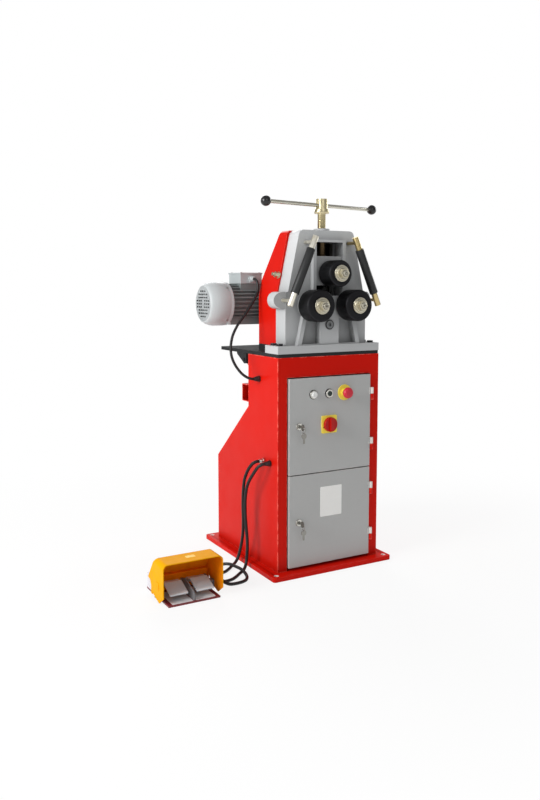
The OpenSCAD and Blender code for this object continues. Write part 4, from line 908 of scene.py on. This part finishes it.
def hood_back():
    """A sheet with its ends folded forward, and a ledge from its top to the rear."""
    sheet = [(-BACK_HALF, BACK_FOLD_Y), (-BACK_HALF, BACK_Y), (BACK_HALF, BACK_Y), (BACK_HALF, BACK_FOLD_Y)]
    sheet += [(x * BACK_INNER, y - BACK_THICK if y == BACK_Y else y) for x, y in sheet[::-1]]
    verts = [Vector((PEDAL_X + x, y, z)) for z in BACK_Z for x, y in sheet]
    faces = [(k, 7 - k, 6 - k, k + 1) for k in range(3)]
    faces += [(k + 9, 14 - k, 15 - k, k + 8) for k in range(3)]
    faces += [((k + 1) % 8, (k + 1) % 8 + 8, k + 8, k) for k in range(8)]
    ledge_verts = [Vector((PEDAL_X + sign * BACK_HALF, y, z)) for sign in (-1, 1) for y, z in LEDGE]
    ledge_faces = [(3, 2, 1, 0), (4, 5, 6, 7)]
    ledge_faces += [(k, (k + 1) % 4, 4 + (k + 1) % 4, 4 + k) for k in range(4)]
    return join([(verts, faces), (ledge_verts, ledge_faces)])


mesh_piece("hood_back", hood_back(), "hood_yellow", "stand", bevel=0.0004)

# Foot switch: a plain raised mark on the hood
MARK_X = (-0.557, -0.525)
MARK_Y = (-0.262, -0.241)
MARK_TOP = 0.1367
MARK_THICK = 0.0007
mesh_piece("hood_mark", flat_plate(MARK_X, MARK_Y, MARK_TOP, MARK_THICK, r=0.004),
           "hood_mark", "stand", smooth=20)

# Floor: white to the eye, with a part of the object's shadow near it
FLOOR_HALF = 9
FLOOR_Z = -0.0006
FLOOR_GREY = (0.9, 0.9, 0.9, 1)
WHITE = (1, 1, 1, 1)
SHADOW_REACH = (0.7, 1.9)
SHADOW_WHITE = (0.84, 1.0)


def floor_material():
    """Mixes a diffuse floor with plain white, which is all that is seen far from the object."""
    mat = bpy.data.materials.new("floor")
    mat.use_nodes = True
    t = mat.node_tree
    t.nodes.clear()

    def node(kind, operation=None):
        n = t.nodes.new("ShaderNode" + kind)
        if operation:
            n.operation = operation
        return n

    rays = node("LightPath").outputs
    seen = rays["Is Camera Ray"]
    for key in ("Is Glossy Ray", "Is Transmission Ray"):
        either = node("Math", "MAXIMUM")
        t.links.new(seen, either.inputs[0])
        t.links.new(rays[key], either.inputs[1])
        seen = either.outputs[0]
    far = node("VectorMath", "LENGTH")
    t.links.new(node("TexCoord").outputs["Object"], far.inputs[0])
    share = node("MapRange")
    share.interpolation_type = "SMOOTHSTEP"
    for key, value in zip(("From Min", "From Max", "To Min", "To Max"), SHADOW_REACH + SHADOW_WHITE):
        share.inputs[key].default_value = value
    t.links.new(far.outputs["Value"], share.inputs["Value"])
    part = node("Math", "MULTIPLY")
    t.links.new(seen, part.inputs[0])
    t.links.new(share.outputs["Result"], part.inputs[1])
    grey = node("BsdfDiffuse")
    grey.inputs["Color"].default_value = FLOOR_GREY
    white = node("Emission")
    white.inputs["Color"].default_value = WHITE
    white.inputs["Strength"].default_value = 1.0
    mixer = node("MixShader")
    t.links.new(part.outputs[0], mixer.inputs[0])
    t.links.new(grey.outputs[0], mixer.inputs[1])
    t.links.new(white.outputs[0], mixer.inputs[2])
    t.links.new(mixer.outputs[0], node("OutputMaterial").inputs[0])
    return mat


me = bpy.data.meshes.new("floor")
floor_corners = [(x * FLOOR_HALF, y * FLOOR_HALF, FLOOR_Z) for x, y in ((-1, -1), (1, -1), (1, 1), (-1, 1))]
me.from_pydata(floor_corners, [], [(0, 1, 2, 3)])
me.materials.append(floor_material())
floor = bpy.data.objects.new("floor", me)
scene.collection.objects.link(floor)

# Light: a surround that is white to the eye and softer on the object, and four round lamps
SURROUND = 0.34


def studio_world():
    """The surround, with one strength for the eye and one for its light."""
    world = bpy.data.worlds.new("studio")
    world.use_nodes = True
    t = world.node_tree
    t.nodes.clear()
    mixer = t.nodes.new("ShaderNodeMixShader")
    rays = t.nodes.new("ShaderNodeLightPath")
    t.links.new(rays.outputs["Is Camera Ray"], mixer.inputs[0])
    for i, strength in ((1, SURROUND), (2, 1.0)):
        sky = t.nodes.new("ShaderNodeBackground")
        sky.inputs["Color"].default_value = WHITE
        sky.inputs["Strength"].default_value = strength
        t.links.new(sky.outputs[0], mixer.inputs[i])
    out = t.nodes.new("ShaderNodeOutputWorld")
    t.links.new(mixer.outputs[0], out.inputs[0])
    return world


def lamp(name, at, aim, size, power):
    """A round lamp at a place, turned to another."""
    light = bpy.data.lights.new(name, "AREA")
    light.shape = "DISK"
    light.size = size
    light.energy = power
    o = bpy.data.objects.new(name, light)
    scene.collection.objects.link(o)
    o.location = at
    o.rotation_euler = (Vector(aim) - Vector(at)).to_track_quat("-Z", "Y").to_euler()


scene.world = studio_world()
lamp("key", at=(-3.4, -0.55, 2.0), aim=(0, 0, 0.75), size=1.7, power=108)
lamp("front", at=(-0.6, -3.4, 2.6), aim=(0, 0, 0.8), size=2.2, power=16)
lamp("right", at=(3.0, 0.4, 1.9), aim=(0, 0, 0.8), size=1.6, power=30)
lamp("back", at=(0.8, 3.0, 2.4), aim=(0, 0, 0.8), size=2.0, power=45)
